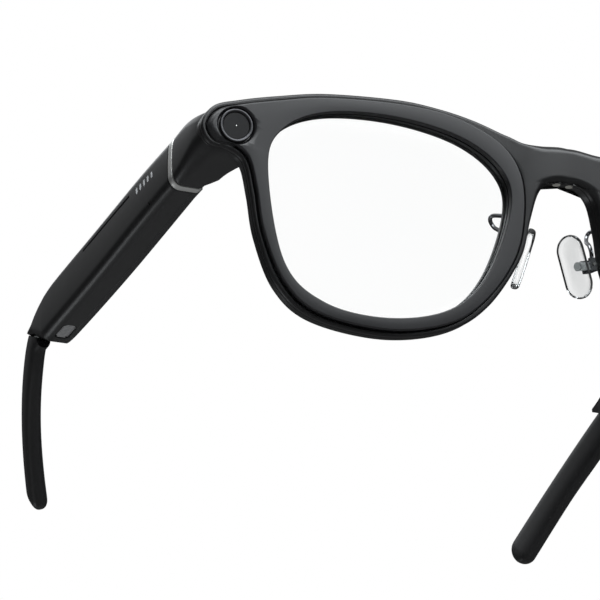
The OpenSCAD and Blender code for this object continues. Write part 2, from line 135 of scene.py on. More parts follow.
def outward(loop: Array) -> Array:
    """Returns the unit normals that point out of a closed plane loop."""
    tangent = np.roll(loop, -1, axis=0) - np.roll(loop, 1, axis=0)
    normal = np.stack([tangent[:, 1], -tangent[:, 0]], axis=1)
    normal /= np.maximum(np.linalg.norm(normal, axis=1, keepdims=True), 1e-9)
    area = np.sum(loop[:, 0] * np.roll(loop[:, 1], -1) - loop[:, 1] * np.roll(loop[:, 0], -1))
    return normal if area > 0 else -normal


def gap_to(points: Array, loop: Array) -> Array:
    """Returns each point's distance to a closed polyline, as the least distance to its stretches."""
    a, b = loop, np.roll(loop, -1, axis=0)
    ab = b - a
    best = np.full(len(points), np.inf)
    for chunk in np.array_split(np.arange(len(points)), max(1, len(points) // 4000)):
        ap = points[chunk, None] - a[None]
        t = np.clip((ap * ab).sum(2) / np.maximum((ab * ab).sum(1), 1e-12), 0, 1)
        best[chunk] = np.linalg.norm(ap - t[..., None] * ab, axis=2).min(1)
    return best


def match(outer: Array, inner: Array, soften: int) -> Array:
    """Pairs each sample of an outer loop with a point of an inner loop.

    The partner is the nearest inner point, kept moving one way round and then averaged over
    neighbours, so that the lines between the loops never cross.

    Args:
        outer: samples of the outer loop.
        inner: samples of the inner loop, going round the same way.
        soften: how many neighbours each way share the average.

    Returns:
        One inner point for each outer sample.
    """
    run = lengths(inner, True)
    total = run[-1]
    fine = along(inner, np.linspace(0, total, 2400, endpoint=False), True)
    near = np.array([np.argmin(((fine - q) ** 2).sum(1)) for q in outer]) * total / 2400
    step = np.diff(np.concatenate([near, near[:1]]))
    step = (step + total / 2) % total - total / 2
    place = near[0] + np.concatenate([[0], np.cumsum(step[:-1])])
    place = np.maximum.accumulate(place)
    place = np.minimum(place, place[0] + total)
    padded = np.concatenate([place[-soften:] - total, place, place[:soften] + total])
    kernel = np.ones(2 * soften + 1) / (2 * soften + 1)
    return along(inner, np.convolve(padded, kernel, mode="valid"), True)


# ---------------------------------------------------------------- meshes


def grid_faces(rows: int, columns: int, wrap_rows: bool, wrap_columns: bool) -> Array:
    """Returns the quads of a grid of points, row after row."""
    r = np.arange(rows if wrap_rows else rows - 1)
    c = np.arange(columns if wrap_columns else columns - 1)
    r, c = np.meshgrid(r, c, indexing="ij")
    r1, c1 = (r + 1) % rows, (c + 1) % columns
    corners = [r * columns + c, r * columns + c1, r1 * columns + c1, r1 * columns + c]
    return np.stack(corners, -1).reshape(-1, 4)


@dataclass
class Skin:
    """Points and faces gathered for one piece, in millimetres."""

    points: list[Array] = field(default_factory=list)
    faces: list[list[int]] = field(default_factory=list)
    count: int = 0

    def add(self, points: Array, faces: Iterable[Sequence[int]]) -> None:
        """Adds a patch whose faces count from its own first point."""
        self.points.append(np.asarray(points, float).reshape(-1, 3))
        self.faces += [[int(k) + self.count for k in f] for f in faces]
        self.count += len(self.points[-1])

    def tube(self, rings: Array, cap: bool = True) -> None:
        """Adds a skin over closed rings, ended by a fan to each end ring's middle."""
        rows, columns = rings.shape[:2]
        faces = grid_faces(rows, columns, False, True).tolist()
        points = rings.reshape(-1, 3)
        if cap:
            ends = np.stack([rings[0].mean(0), rings[-1].mean(0)])
            first, last = rows * columns, rows * columns + 1
            k = np.arange(columns)
            k1 = (k + 1) % columns
            base = (rows - 1) * columns
            faces += np.stack([k1, k, np.full(columns, first)], 1).tolist()
            faces += np.stack([base + k, base + k1, np.full(columns, last)], 1).tolist()
            points = np.vstack([points, ends])
        self.add(points, faces)

    def torus(self, rings: Array) -> None:
        """Adds a skin over rings that close on each other both ways."""
        rows, columns = rings.shape[:2]
        self.add(rings.reshape(-1, 3), grid_faces(rows, columns, True, True))


class Side(Enum):
    """The wearer's side that a piece belongs to."""

    RIGHT = "right"
    LEFT = "left"

    @property
    def mirror(self) -> float:
        """Factor on x: pieces are drawn on the right."""
        return 1.0 if self is Side.RIGHT else -1.0


@dataclass(frozen=True)
class Datum:
    """Where the lens plane and the lens centres' height lie in the frame, in millimetres."""

    front_y: float
    lens_z: float

    @staticmethod
    def from_frame() -> "Datum":
        """Reads both from the right hinge pin, 18.8 mm behind the plane and 11.4 mm above the centre."""
        low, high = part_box("right_hinge_pin")
        return Datum(18.8 - 500 * (low[1] + high[1]), 1000 * low[2] - 11.4)

    def place(self, points: Array) -> Array:
        """Returns design points as metres in the row frame."""
        q = np.array(points, float).reshape(-1, 3)
        q[:, 1] -= self.front_y
        q[:, 2] += self.lens_z
        return q * MM


@dataclass
class Maker:
    datum: Datum
    bodies: dict[str, int] = field(default_factory=dict)

    def build(self, name: str, skin: Skin, side: Side = Side.RIGHT, sharp: float = 40.0,
              weld: float = 0.0015) -> bpy.types.Object:
        """Makes the mesh object of a skin, with doubles merged and faces turned outwards.

        Args:
            name: the piece's name.
            skin: its points and faces.
            side: the side it goes to.
            sharp: angle in degrees above which an edge stays crisp.
            weld: distance in millimetres under which points are merged.

        Returns:
            The object, at the origin.
        """
        points = np.vstack(skin.points)
        points[:, 0] *= side.mirror
        mesh = bpy.data.meshes.new(name)
        mesh.from_pydata(self.datum.place(points).tolist(), [], skin.faces)
        work = bmesh.new()
        work.from_mesh(mesh)
        bmesh.ops.remove_doubles(work, verts=work.verts, dist=weld * MM)
        bmesh.ops.dissolve_degenerate(work, edges=work.edges, dist=1e-7)
        bmesh.ops.recalc_face_normals(work, faces=work.faces)
        work.to_mesh(mesh)
        work.free()
        piece = bpy.data.objects.new(name, mesh)
        bpy.context.scene.collection.objects.link(piece)
        self.shade(piece, sharp)
        return piece

    @staticmethod
    def shade(piece: bpy.types.Object, sharp: float) -> None:
        """Shades a piece smooth, apart from edges sharper than the angle."""
        piece.data.polygons.foreach_set("use_smooth", np.ones(len(piece.data.polygons), bool))
        piece.data.set_sharp_from_angle(angle=math.radians(sharp))

    def cut(self, piece: bpy.types.Object, cutter: bpy.types.Object, sharp: float = 40.0) -> None:
        """Takes a closed cutter out of a closed piece and throws the cutter away."""
        tool = piece.modifiers.new("cut", "BOOLEAN")
        tool.operation, tool.solver, tool.object = "DIFFERENCE", "MANIFOLD", cutter
        shown = piece.evaluated_get(bpy.context.evaluated_depsgraph_get())
        mesh = bpy.data.meshes.new_from_object(shown)
        piece.modifiers.clear()
        piece.data = mesh
        bpy.data.objects.remove(cutter)
        self.shade(piece, sharp)

    def finish(self, piece: bpy.types.Object, body: str, material: bpy.types.Material, slot: str,
               *nodes: str) -> bpy.types.Object:
        """Dresses a piece, rides it on its body and hides the CAD nodes it stands in for."""
        piece.data.materials.clear()
        piece.data.materials.append(material)
        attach(piece, body)
        if nodes:
            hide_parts(*nodes)
        self.bodies[piece.name] = len(piece.data.polygons)
        LOG.info("%s: %d faces, rides on %s", piece.name, len(piece.data.polygons), body)
        return piece


# ---------------------------------------------------------------- finishes


def linear(code: str) -> tuple[float, float, float, float]:
    """Returns an sRGB hex colour as linear red, green, blue and an alpha of 1."""
    value = [int(code[k : k + 2], 16) / 255 for k in (1, 3, 5)]
    return (*(v / 12.92 if v <= 0.04045 else ((v + 0.055) / 1.055) ** 2.4 for v in value), 1.0)


def node(tree: bpy.types.NodeTree, kind: str, inputs: dict | None = None,
         **settings: object) -> bpy.types.Node:
    """Adds a node: settings are its attributes, and inputs are values or sockets to link."""
    made = tree.nodes.new(kind)
    for key, value in settings.items():
        setattr(made, key, value)
    for key, value in (inputs or {}).items():
        if isinstance(value, bpy.types.NodeSocket):
            tree.links.new(value, made.inputs[key])
        else:
            made.inputs[key].default_value = value
    return made


def grains(size_mm: float) -> float:
    """Returns the noise scale, on coordinates in metres, whose features are that many millimetres."""
    return 1.0 / (size_mm * MM)


@dataclass(frozen=True)
class Moulding:
    """Injection-moulded plastic: a soft broken gloss, a fine grain and slightly uneven tone.

    Args:
        name: the material's name.
        colour: sRGB hex of the plastic.
        roughness: middle of its roughness.
        grain_mm: size of the spark-eroded grain, drawn coarse enough to show.
        bump: depth of that grain, 0 to 1.
        specular: specular level of the surface.
    """

    name: str
    colour: str
    roughness: float = 0.38
    grain_mm: float = 0.16
    bump: float = 0.12
    specular: float = 0.5

    def make(self) -> bpy.types.Material:
        """Builds the material."""
        material = bpy.data.materials.new(self.name)
        material.use_nodes = True
        tree = material.node_tree
        shader = tree.nodes["Principled BSDF"]
        shader.inputs["Specular IOR Level"].default_value = self.specular
        where = node(tree, "ShaderNodeTexCoord").outputs["Object"]
        grain = node(tree, "ShaderNodeTexNoise", {
            "Vector": where, "Scale": grains(self.grain_mm), "Detail": 2.0,
        })
        cloud = node(tree, "ShaderNodeTexNoise", {"Vector": where, "Scale": grains(14), "Detail": 3.0})
        base = linear(self.colour)
        tone = node(tree, "ShaderNodeMix", {
            "Factor": cloud.outputs["Fac"],
            "A": tuple(0.86 * c for c in base[:3]) + (1.0,),
            "B": tuple(1.14 * c for c in base[:3]) + (1.0,),
        }, data_type="RGBA")
        tree.links.new(tone.outputs["Result"], shader.inputs["Base Color"])
        rough = node(tree, "ShaderNodeMapRange", {
            "Value": cloud.outputs["Fac"], "To Min": self.roughness - 0.05, "To Max": self.roughness + 0.05,
        })
        tree.links.new(rough.outputs["Result"], shader.inputs["Roughness"])
        bump = node(tree, "ShaderNodeBump", {
            "Height": grain.outputs["Fac"], "Strength": self.bump, "Distance": 0.02 * MM,
        })
        tree.links.new(bump.outputs["Normal"], shader.inputs["Normal"])
        return material


@dataclass(frozen=True)
class Metal:
    """Bare or plated metal: full metallic reflection, broken by fine brushing or polishing marks.

    Args:
        name: the material's name.
        colour: sRGB hex of the metal.
        roughness: middle of its roughness.
        line_mm: spacing of the brushing lines.
        stretch: how much longer than wide the marks are.
        bump: depth of the marks.
    """

    name: str
    colour: str
    roughness: float = 0.25
    line_mm: float = 0.12
    stretch: float = 12.0
    bump: float = 0.08

    def make(self) -> bpy.types.Material:
        """Builds the material."""
        material = bpy.data.materials.new(self.name)
        material.use_nodes = True
        tree = material.node_tree
        shader = tree.nodes["Principled BSDF"]
        shader.inputs["Metallic"].default_value = 1.0
        where = node(tree, "ShaderNodeTexCoord").outputs["Object"]
        turned = node(tree, "ShaderNodeMapping", {"Vector": where, "Scale": (1.0, 1.0, 1.0 / self.stretch)})
        marks = node(tree, "ShaderNodeTexNoise", {
            "Vector": turned.outputs["Vector"], "Scale": grains(self.line_mm), "Detail": 2.0,
        })
        base = linear(self.colour)
        tone = node(tree, "ShaderNodeMix", {
            "Factor": marks.outputs["Fac"],
            "A": tuple(0.88 * c for c in base[:3]) + (1.0,),
            "B": tuple(min(1.0, 1.08 * c) for c in base[:3]) + (1.0,),
        }, data_type="RGBA")
        tree.links.new(tone.outputs["Result"], shader.inputs["Base Color"])
        rough = node(tree, "ShaderNodeMapRange", {
            "Value": marks.outputs["Fac"], "To Min": self.roughness * 0.75, "To Max": self.roughness * 1.25,
        })
        tree.links.new(rough.outputs["Result"], shader.inputs["Roughness"])
        bump = node(tree, "ShaderNodeBump", {
            "Height": marks.outputs["Fac"], "Strength": self.bump, "Distance": 0.01 * MM,
        })
        tree.links.new(bump.outputs["Normal"], shader.inputs["Normal"])
        return material


@dataclass(frozen=True)
class Clear:
    """Clear moulded or ground stuff: straight-through light, a tint and a glancing reflection.

    Args:
        name: the material's name.
        tint: sRGB hex of the light that passes.
        edge: sRGB hex of the light that passes where the surface turns away.
        gloss: roughness of the reflection.
        mirror: share of the surface reflection kept.
    """

    name: str
    tint: str
    edge: str
    gloss: float = 0.05
    mirror: float = 1.0

    def make(self) -> bpy.types.Material:
        """Builds the material."""
        material = bpy.data.materials.new(self.name)
        material.use_nodes = True
        tree = material.node_tree
        tree.nodes.clear()
        facing = node(tree, "ShaderNodeLayerWeight", {"Blend": 0.42}).outputs["Facing"]
        passed = node(tree, "ShaderNodeMix", {
            "Factor": facing, "A": linear(self.tint), "B": linear(self.edge),
        }, data_type="RGBA")
        through = node(tree, "ShaderNodeBsdfTransparent", {"Color": passed.outputs["Result"]})
        where = node(tree, "ShaderNodeTexCoord").outputs["Object"]
        smear = node(tree, "ShaderNodeTexNoise", {"Vector": where, "Scale": grains(6), "Detail": 2.0})
        rough = node(tree, "ShaderNodeMapRange", {
            "Value": smear.outputs["Fac"], "To Min": self.gloss * 0.6, "To Max": self.gloss * 1.4,
        })
        shine = node(tree, "ShaderNodeBsdfGlossy", {"Roughness": rough.outputs["Result"]})
        fresnel = node(tree, "ShaderNodeFresnel", {"IOR": 1.46}).outputs["Fac"]
        share = node(tree, "ShaderNodeMath", {0: fresnel, 1: self.mirror}, operation="MULTIPLY")
        mixed = node(tree, "ShaderNodeMixShader", {
            0: share.outputs[0], 1: through.outputs[0], 2: shine.outputs[0],
        })
        out = node(tree, "ShaderNodeOutputMaterial")
        tree.links.new(mixed.outputs[0], out.inputs["Surface"])
        return material


@dataclass(frozen=True)
class Finishes:
    """The materials, one for each real stuff."""

    frame: bpy.types.Material
    plate: bpy.types.Material
    soft: bpy.types.Material
    seam: bpy.types.Material
    lens: bpy.types.Material
    silicone: bpy.types.Material
    frost: bpy.types.Material
    silver: bpy.types.Material
    gunmetal: bpy.types.Material
    steel: bpy.types.Material
    chrome: bpy.types.Material
    gold: bpy.types.Material
    glass: bpy.types.Material
    diffuser: bpy.types.Material
    mesh: bpy.types.Material
    pip: bpy.types.Material
    laminate: bpy.types.Material
    film: bpy.types.Material
    cell: bpy.types.Material
    module: bpy.types.Material

    @staticmethod
    def make() -> "Finishes":
        """Builds every material once."""
        return Finishes(
            # Satin black nylon: the broad soft sheen of the frame and temples
            frame=Moulding("satin_black_nylon", "#0c0c0d", 0.32, specular=0.5).make(),
            # Face plates: the same black, a shade greyer and flatter
            plate=Moulding("matt_black_acetate", "#131315", 0.38, grain_mm=0.12, bump=0.08).make(),
            # Ear tips: over-moulded rubber with a duller sheen
            soft=Moulding("soft_touch_rubber", "#101011", 0.42, grain_mm=0.10, bump=0.15).make(),
            # Floor of grooves and slots: near black and barely reflecting, painted shade for the recesses on
            # top of the parts' own black
            seam=Moulding("dead_black_nylon_and_shade", "#040404", 0.75, bump=0.3, specular=0.1).make(),
            # Demo lenses: clear, with only a faint film of reflection
            lens=Clear("clear_polycarbonate", "#ffffff", "#eef2f1", 0.03, 0.10).make(),
            # Nose pads: clear silicone that darkens where it is seen edge on
            silicone=Clear("clear_silicone", "#fefefe", "#c9cdcd", 0.10, 1.0).make(),
            # Bosses of the pads: the same silicone, milky where it is thick and ribbed
            frost=Moulding("milky_silicone", "#b9bdbd", 0.35, grain_mm=0.4, bump=0.1).make(),
            # Collar: plated ring, bright with fine brushing round the temple; also the camera's silver dot,
            # a painted highlight
            silver=Metal("satin_silver_plate", "#f1f1ee", 0.42, line_mm=0.10).make(),
            # Camera and light bezels: dark machined metal
            gunmetal=Metal("gunmetal_anodised_aluminium", "#4b4b4d", 0.40, line_mm=0.08, stretch=1.0).make(),
            # Hinges and screws
            steel=Metal("brushed_stainless_steel", "#b9bab8", 0.30, line_mm=0.10).make(),
            # Nose-pad arms: bright bent wire
            chrome=Metal("polished_chrome_wire", "#9a9b9e", 0.14, line_mm=0.30, bump=0.03).make(),
            # Charging contacts and microphone cans: pale gold plating
            gold=Metal("pale_gold_plate", "#f3f1e9", 0.6, line_mm=0.08, stretch=1.0).make(),
            # Camera window: black glass
            glass=Moulding("black_cover_glass", "#08080a", 0.36, grain_mm=1.5, bump=0.02,
                           specular=0.22).make(),
            # Light window: smoked diffuser
            diffuser=Moulding("smoked_diffuser", "#47474a", 0.45, grain_mm=0.2, bump=0.1).make(),
            # Speaker screens: pale woven wire
            mesh=Metal("woven_steel_mesh", "#ececed", 0.6, line_mm=0.15, stretch=1.0, bump=0.3).make(),
            # Marks beside the button: pale grey inserts
            pip=Moulding("grey_light_pipe", "#a9aaac", 0.4, grain_mm=0.3, bump=0.05).make(),
            # Circuit boards: green solder mask
            laminate=Moulding("green_solder_mask", "#1d5b35", 0.35, grain_mm=0.4, bump=0.15).make(),
            # Flex: amber polyimide
            film=Moulding("amber_polyimide", "#9a5a1c", 0.28, grain_mm=0.5, bump=0.08).make(),
            # Battery pouch: blue-grey sleeve
            cell=Moulding("blue_battery_sleeve", "#3f6593", 0.35, grain_mm=0.6, bump=0.1).make(),
            # Camera module, speaker, switch bodies
            module=Moulding("black_module_casing", "#1a1a1b", 0.5, grain_mm=0.3, bump=0.15).make(),
        )


# ---------------------------------------------------------------- the front


# Loops in the plane of the front: distance from the middle and height above the lens centre
LENS = [[57.8, -11], [49.5, -18.2], [36.5, -19.8], [24.2, -16.7], [16.6, -8.8], [12.3, 4.5], [14.2, 12],
        [22.5, 17.4], [36, 19.8], [50, 18.9], [58.7, 14.6], [61.6, 7]]
PLATE = [[35.5, 22.7], [50.4, 21.9], [60, 20], [67, 18.3], [71.6, 16.8], [73.7, 13.6], [72, 10.8],
         [68.4, 10.2], [65.4, 7.9], [63.6, 2], [61.9, -6], [57.6, -15.1], [50.6, -20.4], [36.8, -22.2],
         [24.5, -19.7],
         [16.8, -14], [11.2, -5.5], [9.4, 3], [10.2, 11.6], [14.8, 17.6], [24.2, 21.6]]
OUTLINE = [[0, 18.9], [2, 18.9], [6, 18.4], [9.6, 18.3], [13, 19.6], [20, 21.8], [27.5, 23.2], [36, 23.8],
           [50.2, 23], [60, 21.2], [67.4, 19.4], [72.4, 17.6], [74.7, 13.8], [73, 10.3], [68.9, 9.3],
           [66.1, 7.2], [64.5, 1.6], [62.7, -6.6], [58.4, -15.9], [51, -21.3], [36.8, -23.2], [24, -20.7],
           [15.8, -14.8], [9.9, -5.2], [7.9, 3], [6.3, 8.4], [4.4, 10.8], [2.4, 11.6], [0, 11.7]]


def bulge(distance: Array, radius: Array | float) -> Array:
    """Returns how far a rounded edge falls away at a distance inside it: the depth of a quarter circle."""
    d = np.clip(distance, 0, radius)
    return radius - np.sqrt(np.maximum(radius**2 - (radius - d) ** 2, 0))


@dataclass(frozen=True)
class Front:
    """Moulded frame, the two glued face plates and the lenses.

    Args:
        maker: builds the pieces.
        looks: the materials.
        stations: samples round each rim.
        lens_x: lens centre from the middle.
        tilt: lean of the front, in degrees.
        wrap: wrap of each half, in degrees.
        rim_depth: depth of the rims.
        lip: depth at which the frame stands behind the plate's front.
        plate_t: thickness of the plates.
        camera: the camera's place in the plane of the front.
    """

    maker: Maker
    looks: Finishes
    stations: int = 900
    lens_x: float = 35.0
    tilt: float = 8.0
    wrap: float = 4.0
    rim_depth: float = 5.5
    lip: float = 1.2
    plate_t: float = 1.8
    camera: tuple[float, float] = (68.1, 13.9)

    def axes(self) -> tuple[Array, Array, Array]:
        """Returns the directions along the right half, up it and into it."""
        t, w = math.radians(self.tilt), math.radians(self.wrap)
        along_x = np.array([math.cos(w), -math.sin(w), 0])
        inward = np.array([math.sin(w) * math.cos(t), math.cos(w) * math.cos(t), math.sin(t)])
        return along_x, np.cross(along_x, inward), inward

    def place(self, plane: Array, depth: Array) -> Array:
        """Puts points of the right half's plane into space.

        Close to the middle the wrap eases off and the points stay on their own side, so that the two
        halves meet in one smooth bridge.

        Args:
            plane: distance from the middle and height, one point a row.
            depth: how far behind the plate's front each point lies.

        Returns:
            The points, with x negative on the right.
        """
        x_dir, up, inward = self.axes()
        u, v = -plane[:, 0], plane[:, 1]
        points = (np.array([-self.lens_x, 0, 0]) + (u + self.lens_x)[:, None] * x_dir
                  + v[:, None] * up + np.asarray(depth)[:, None] * inward)
        near = smooth(0, 10, -u)
        bare = -self.lens_x + (u + self.lens_x) * x_dir[0]
        middle = bare + self.lens_x * (1 - x_dir[0])
        points[:, 0] = near * points[:, 0] + (1 - near) * (middle * (u < -1e-9))
        points[:, 1] += x_dir[1] * (u + np.sqrt(u**2 + 14.0)) * (1 - near) * -1.0
        return points

    def loops(self) -> tuple[Array, Array, Array, Array]:
        """Returns matched samples of the frame's outline, the plate's edge and the lens opening.

        Returns:
            The three loops and a flag for the outline's samples that lie on the middle of the bridge.
        """
        rim = even(spline(OUTLINE, 24, False), self.stations - 36, False)
        middle = np.stack([np.zeros(36), np.linspace(rim[-1, 1], rim[0, 1], 38)[1:-1]], 1)
        outer = np.vstack([rim, middle])
        flag = np.abs(outer[:, 0]) < 1e-6
        plate = match(outer, spline(PLATE, 24, True), 6)
        opening = match(plate, spline(LENS, 24, True), 10)
        return outer, plate, opening, flag

    def face_depth(self, points: Array) -> Array:
        """Depth of the frame's front: a lip round the plate, and a saddle across the bridge."""
        x = points[:, 0]
        bridge = smooth(15, 8, x)
        edge = gap_to(points, self.open_outline())
        radius = 0.45 + 0.75 * smooth(10, 5, x)
        level = self.lip * (1 - bridge) + 0.2 * bridge + 0.55 * np.exp(-((x / 4.6) ** 2))
        return level + bulge(edge, radius)

    @staticmethod
    def open_outline() -> Array:
        """Returns the outline carried past the middle, so that distances ignore the cut there."""
        rim = spline(OUTLINE, 24, False)
        mirrored = rim[::-1] * [-1, 1]
        return np.vstack([rim, mirrored[1:-1]])

    def frame_half(self) -> Skin:
        """Skin of the right half of the frame.

        Rows of points run outwards from the lens opening: under the plate, up through the seam to the
        lip, round the edge, down the wall with its fine groove, round the back edge and in across the
        back to the opening's wall. Only the cut in the middle of the bridge is left open.
        """
        outer, plate, opening, flag = self.loops()
        rows: list[Array] = []

        def row_at(points: Array, depth: Array | float) -> None:
            """Adds a row of points at one depth, or at a depth for each."""
            rows.append(self.place(points, np.broadcast_to(depth, len(points)).astype(float)))

        def between(a: Array, b: Array, t: float) -> Array:
            """Returns the points a share of the way from one loop to the other."""
            return a + (b - a) * t

        row_at(between(opening, plate, 0.0), 2.0)
        row_at(between(opening, plate, 0.5), 1.9)
        reach = np.linalg.norm(outer - plate, axis=1)
        step = (outer - plate) / np.maximum(reach, 1e-6)[:, None]
        row_at(plate - 0.25 * step, 1.9)
        row_at(plate + 0.10 * step, 1.9)
        for gap in (0.14, 0.18, 0.24, 0.32):
            here = plate + gap * step
            row_at(here, self.face_depth(here) + 0.55 * bulge(np.full(len(here), gap - 0.14), 0.25))
        start = plate + 0.32 * step
        for t in (0.06, 0.14, 0.24, 0.36, 0.48, 0.6, 0.7, 0.78, 0.85, 0.9, 0.94, 0.97, 0.99, 1.0):
            here = between(start, outer, t)
            row_at(here, self.face_depth(here))
        front_edge = self.face_depth(outer)
        normal = outward(outer)
        for depth, inset in ((2.0, 0), (2.25, 0), (2.33, 0.12), (2.45, 0.2), (2.57, 0.12), (2.65, 0),
                             (3.2, 0), (4.0, 0), (4.5, 0.03), (4.9, 0.14), (5.2, 0.34), (5.4, 0.62),
                             (5.5, 1.0)):
            put = outer - inset * normal * (~flag)[:, None]
            row_at(put, np.maximum(depth, front_edge))
        back = outer - 1.0 * normal * (~flag)[:, None]
        inner_edge = match(back, spline(LENS, 24, True), 10)
        for t in (0.25, 0.5, 0.75):
            row_at(between(back, inner_edge, t), self.rim_depth)
        inner_normal = outward(opening)
        for depth, out in ((5.5, 0.75), (5.44, 0.5), (5.28, 0.26), (5.0, 0.1), (4.6, 0.05), (4.1, 0.05),
                           (4.0, 0.3), (2.3, 0.3), (2.2, 0.05), (2.0, 0.0)):
            row_at(opening + out * inner_normal, depth)
        points = np.stack(rows)
        faces = grid_faces(*points.shape[:2], False, True)
        column = faces[:, 0] % points.shape[1]
        ring = faces[:, 0] // points.shape[1]
        wall = (ring >= 21) & (ring < 34)
        middle = flag[column] & flag[(column + 1) % points.shape[1]]
        skin = Skin()
        skin.add(points, faces[~(wall & middle)].tolist())
        return skin

    def endpiece(self) -> Skin:
        """Skin of the block that carries the hinge, as rounded sections one behind the other."""
        inner = [[1.4, -63.0], [3.2, -62.8], [6.6, -62.9], [9.2, -64.2], [12.4, -65.4], [15.5, -66.0],
                 [16.7, -66.9], [17.4, -67.6], [19.1, -67.8]]
        outer = [[1.4, -72.2], [2.6, -73.7], [7, -74.45], [12, -74.55], [19.1, -74.4]]
        top = [[1.4, 16.6], [3, 17.4], [6, 18.1], [12, 19.0], [19.1, 18.92]]
        under = [[1.4, 10.2], [4, 9.5], [8, 9.2], [12, 8.85], [19.1, 8.3]]
        table = [spline(c, 8, False) for c in (inner, outer, top, under)]
        skin = Skin()
        rings = []
        near = [(1.6, 1.1), (1.75, 0.6), (2.2, 0.2)]
        full = [(y, 0) for y in (3.2, 4.6, 6, 7.5, 9, 10.5, 12, 13.5, 15, 16.6, 18, 18.8)]
        for y, shrink in near + full + [(19.0, 0.06), (19.1, 0.18)]:
            xi, xo, zt, zb = (np.interp(y, c[:, 0], c[:, 1]) for c in table)
            soft = float(smooth(17, 4, y))
            rings.append(section(y, xi - shrink, xo + shrink, zb + shrink, zt - shrink,
                                 (1.0, 1.95 + 0.5 * soft, 2.3 + 1.6 * soft, 0.9)))
        skin.tube(np.stack(rings))
        return skin

    def frame(self) -> bpy.types.Object:
        """Makes the whole frame: both halves of the rims merged along the bridge, and both endpieces."""
        half = self.frame_half()
        skin = Skin()
        points = np.vstack(half.points)
        skin.add(points, half.faces)
        skin.add(points * [-1, 1, 1], [f[::-1] for f in half.faces])
        block = self.endpiece()
        solid = np.vstack(block.points)
        skin.add(solid, block.faces)
        skin.add(solid * [-1, 1, 1], [f[::-1] for f in block.faces])
        return self.maker.finish(self.maker.build("frame", skin, sharp=48), "front", self.looks.frame,
                                 "frame_black", "front_frame")

    def plate(self, side: Side) -> bpy.types.Object:
        """Makes a face plate: a crowned front with rounded edges and a bowl for the camera or light."""
        outer = even(spline(PLATE, 24, True), 760, True)
        opening = match(outer, spline(LENS, 24, True), 12)
        normal_out, normal_in = outward(outer), outward(opening)
        rows = []

        def row_at(points: Array, depth: Array | float) -> None:
            """Adds a row of points at one depth, or at a depth for each."""
            rows.append(self.place(points, np.broadcast_to(depth, len(points)).astype(float)))

        radius = 0.32 + 0.85 * smooth(66, 72.5, outer[:, 0])
        row_at(outer, self.plate_t)
        row_at(outer, 1.4)
        for t in (0.0, 0.12, 0.27, 0.45, 0.65, 0.85, 1.0):
            inset = radius * (1 - math.cos(t * math.pi / 2))
            row_at(outer - inset[:, None] * normal_out, 0.08 + radius * (1 - math.sin(t * math.pi / 2)))
        a, b = outer - radius[:, None] * normal_out, opening + 0.2 * normal_in
        for t in (0.015, 0.05, 0.12, 0.25, 0.4, 0.6, 0.75, 0.88, 0.95, 0.985):
            row_at(a + (b - a) * t, 0.08 - 0.03 * math.sin(t * math.pi))
        for t in (1.0, 0.85, 0.65, 0.45, 0.27, 0.12, 0.0):
            inset = 0.2 * (1 - math.cos(t * math.pi / 2))
            row_at(opening + inset * normal_in, 0.08 + 0.2 * (1 - math.sin(t * math.pi / 2)))
        row_at(opening, 1.2)
        row_at(opening + 0.02 * normal_in, 1.55)
        row_at(opening + 0.18 * normal_in, 1.7)
        row_at(opening + 0.25 * normal_in, self.plate_t)
        skin = Skin()
        skin.torus(np.stack(rows))
        name = f"{side.value}_plate"
        piece = self.maker.build(name, skin, side)
        self.maker.cut(piece, self.lathe("bowl", [(0, -1), (4.0, -1), (4.0, 0.03), (3.86, 0.12), (3.7, 0.3),
                                                  (3.54, 0.6), (3.42, 0.9), (3.38, 2.6), (0, 2.6)], side))
        return self.maker.finish(piece, "front", self.looks.plate, "plate_black", f"{side.value}_face_plate")

    def lathe(self, name: str, profile: Sequence[tuple[float, float]], side: Side,
              count: int = 96) -> bpy.types.Object:
        """Makes a turned piece on the camera's axis from radii and depths, closed on the axis."""
        angle = np.linspace(0, 2 * math.pi, count, endpoint=False)
        rings = [self.place(np.stack([self.camera[0] + max(r, 1e-4) * np.cos(angle),
                                      self.camera[1] + max(r, 1e-4) * np.sin(angle)], 1),
                            np.full(count, d)) for r, d in profile]
        skin = Skin()
        skin.tube(np.stack(rings))
        return self.maker.build(name, skin, side)

    def lens(self, side: Side) -> bpy.types.Object:
        """Makes a lens: a thin domed slab with a bevelled edge, seated in the frame's groove."""
        edge = even(spline(LENS, 24, True), 360, True)
        middle = np.array([37.0, 0.0])
        grown = middle + (edge - middle) * 1.012
        rings = []
        front = ((0, -0.55), (0.2, -0.53), (0.4, -0.46), (0.6, -0.35), (0.8, -0.2), (0.92, -0.08),
                 (0.99, 0.0), (1, 0.1))
        back = ((1, 1.3), (0.99, 1.4), (0.8, 1.2), (0.6, 1.05), (0.4, 0.94), (0.2, 0.87), (0, 0.85))
        for t, depth in front + back:
            loop = middle + (grown - middle) * max(t, 1e-4)
            rings.append(self.place(loop, np.full(len(edge), 2.6 + depth)))
        skin = Skin()
        skin.tube(np.stack(rings))
        piece = self.maker.build(f"{side.value}_lens_piece", skin, side)
        return self.maker.finish(piece, "front", self.looks.lens, "lens_clear", f"{side.value}_lens")

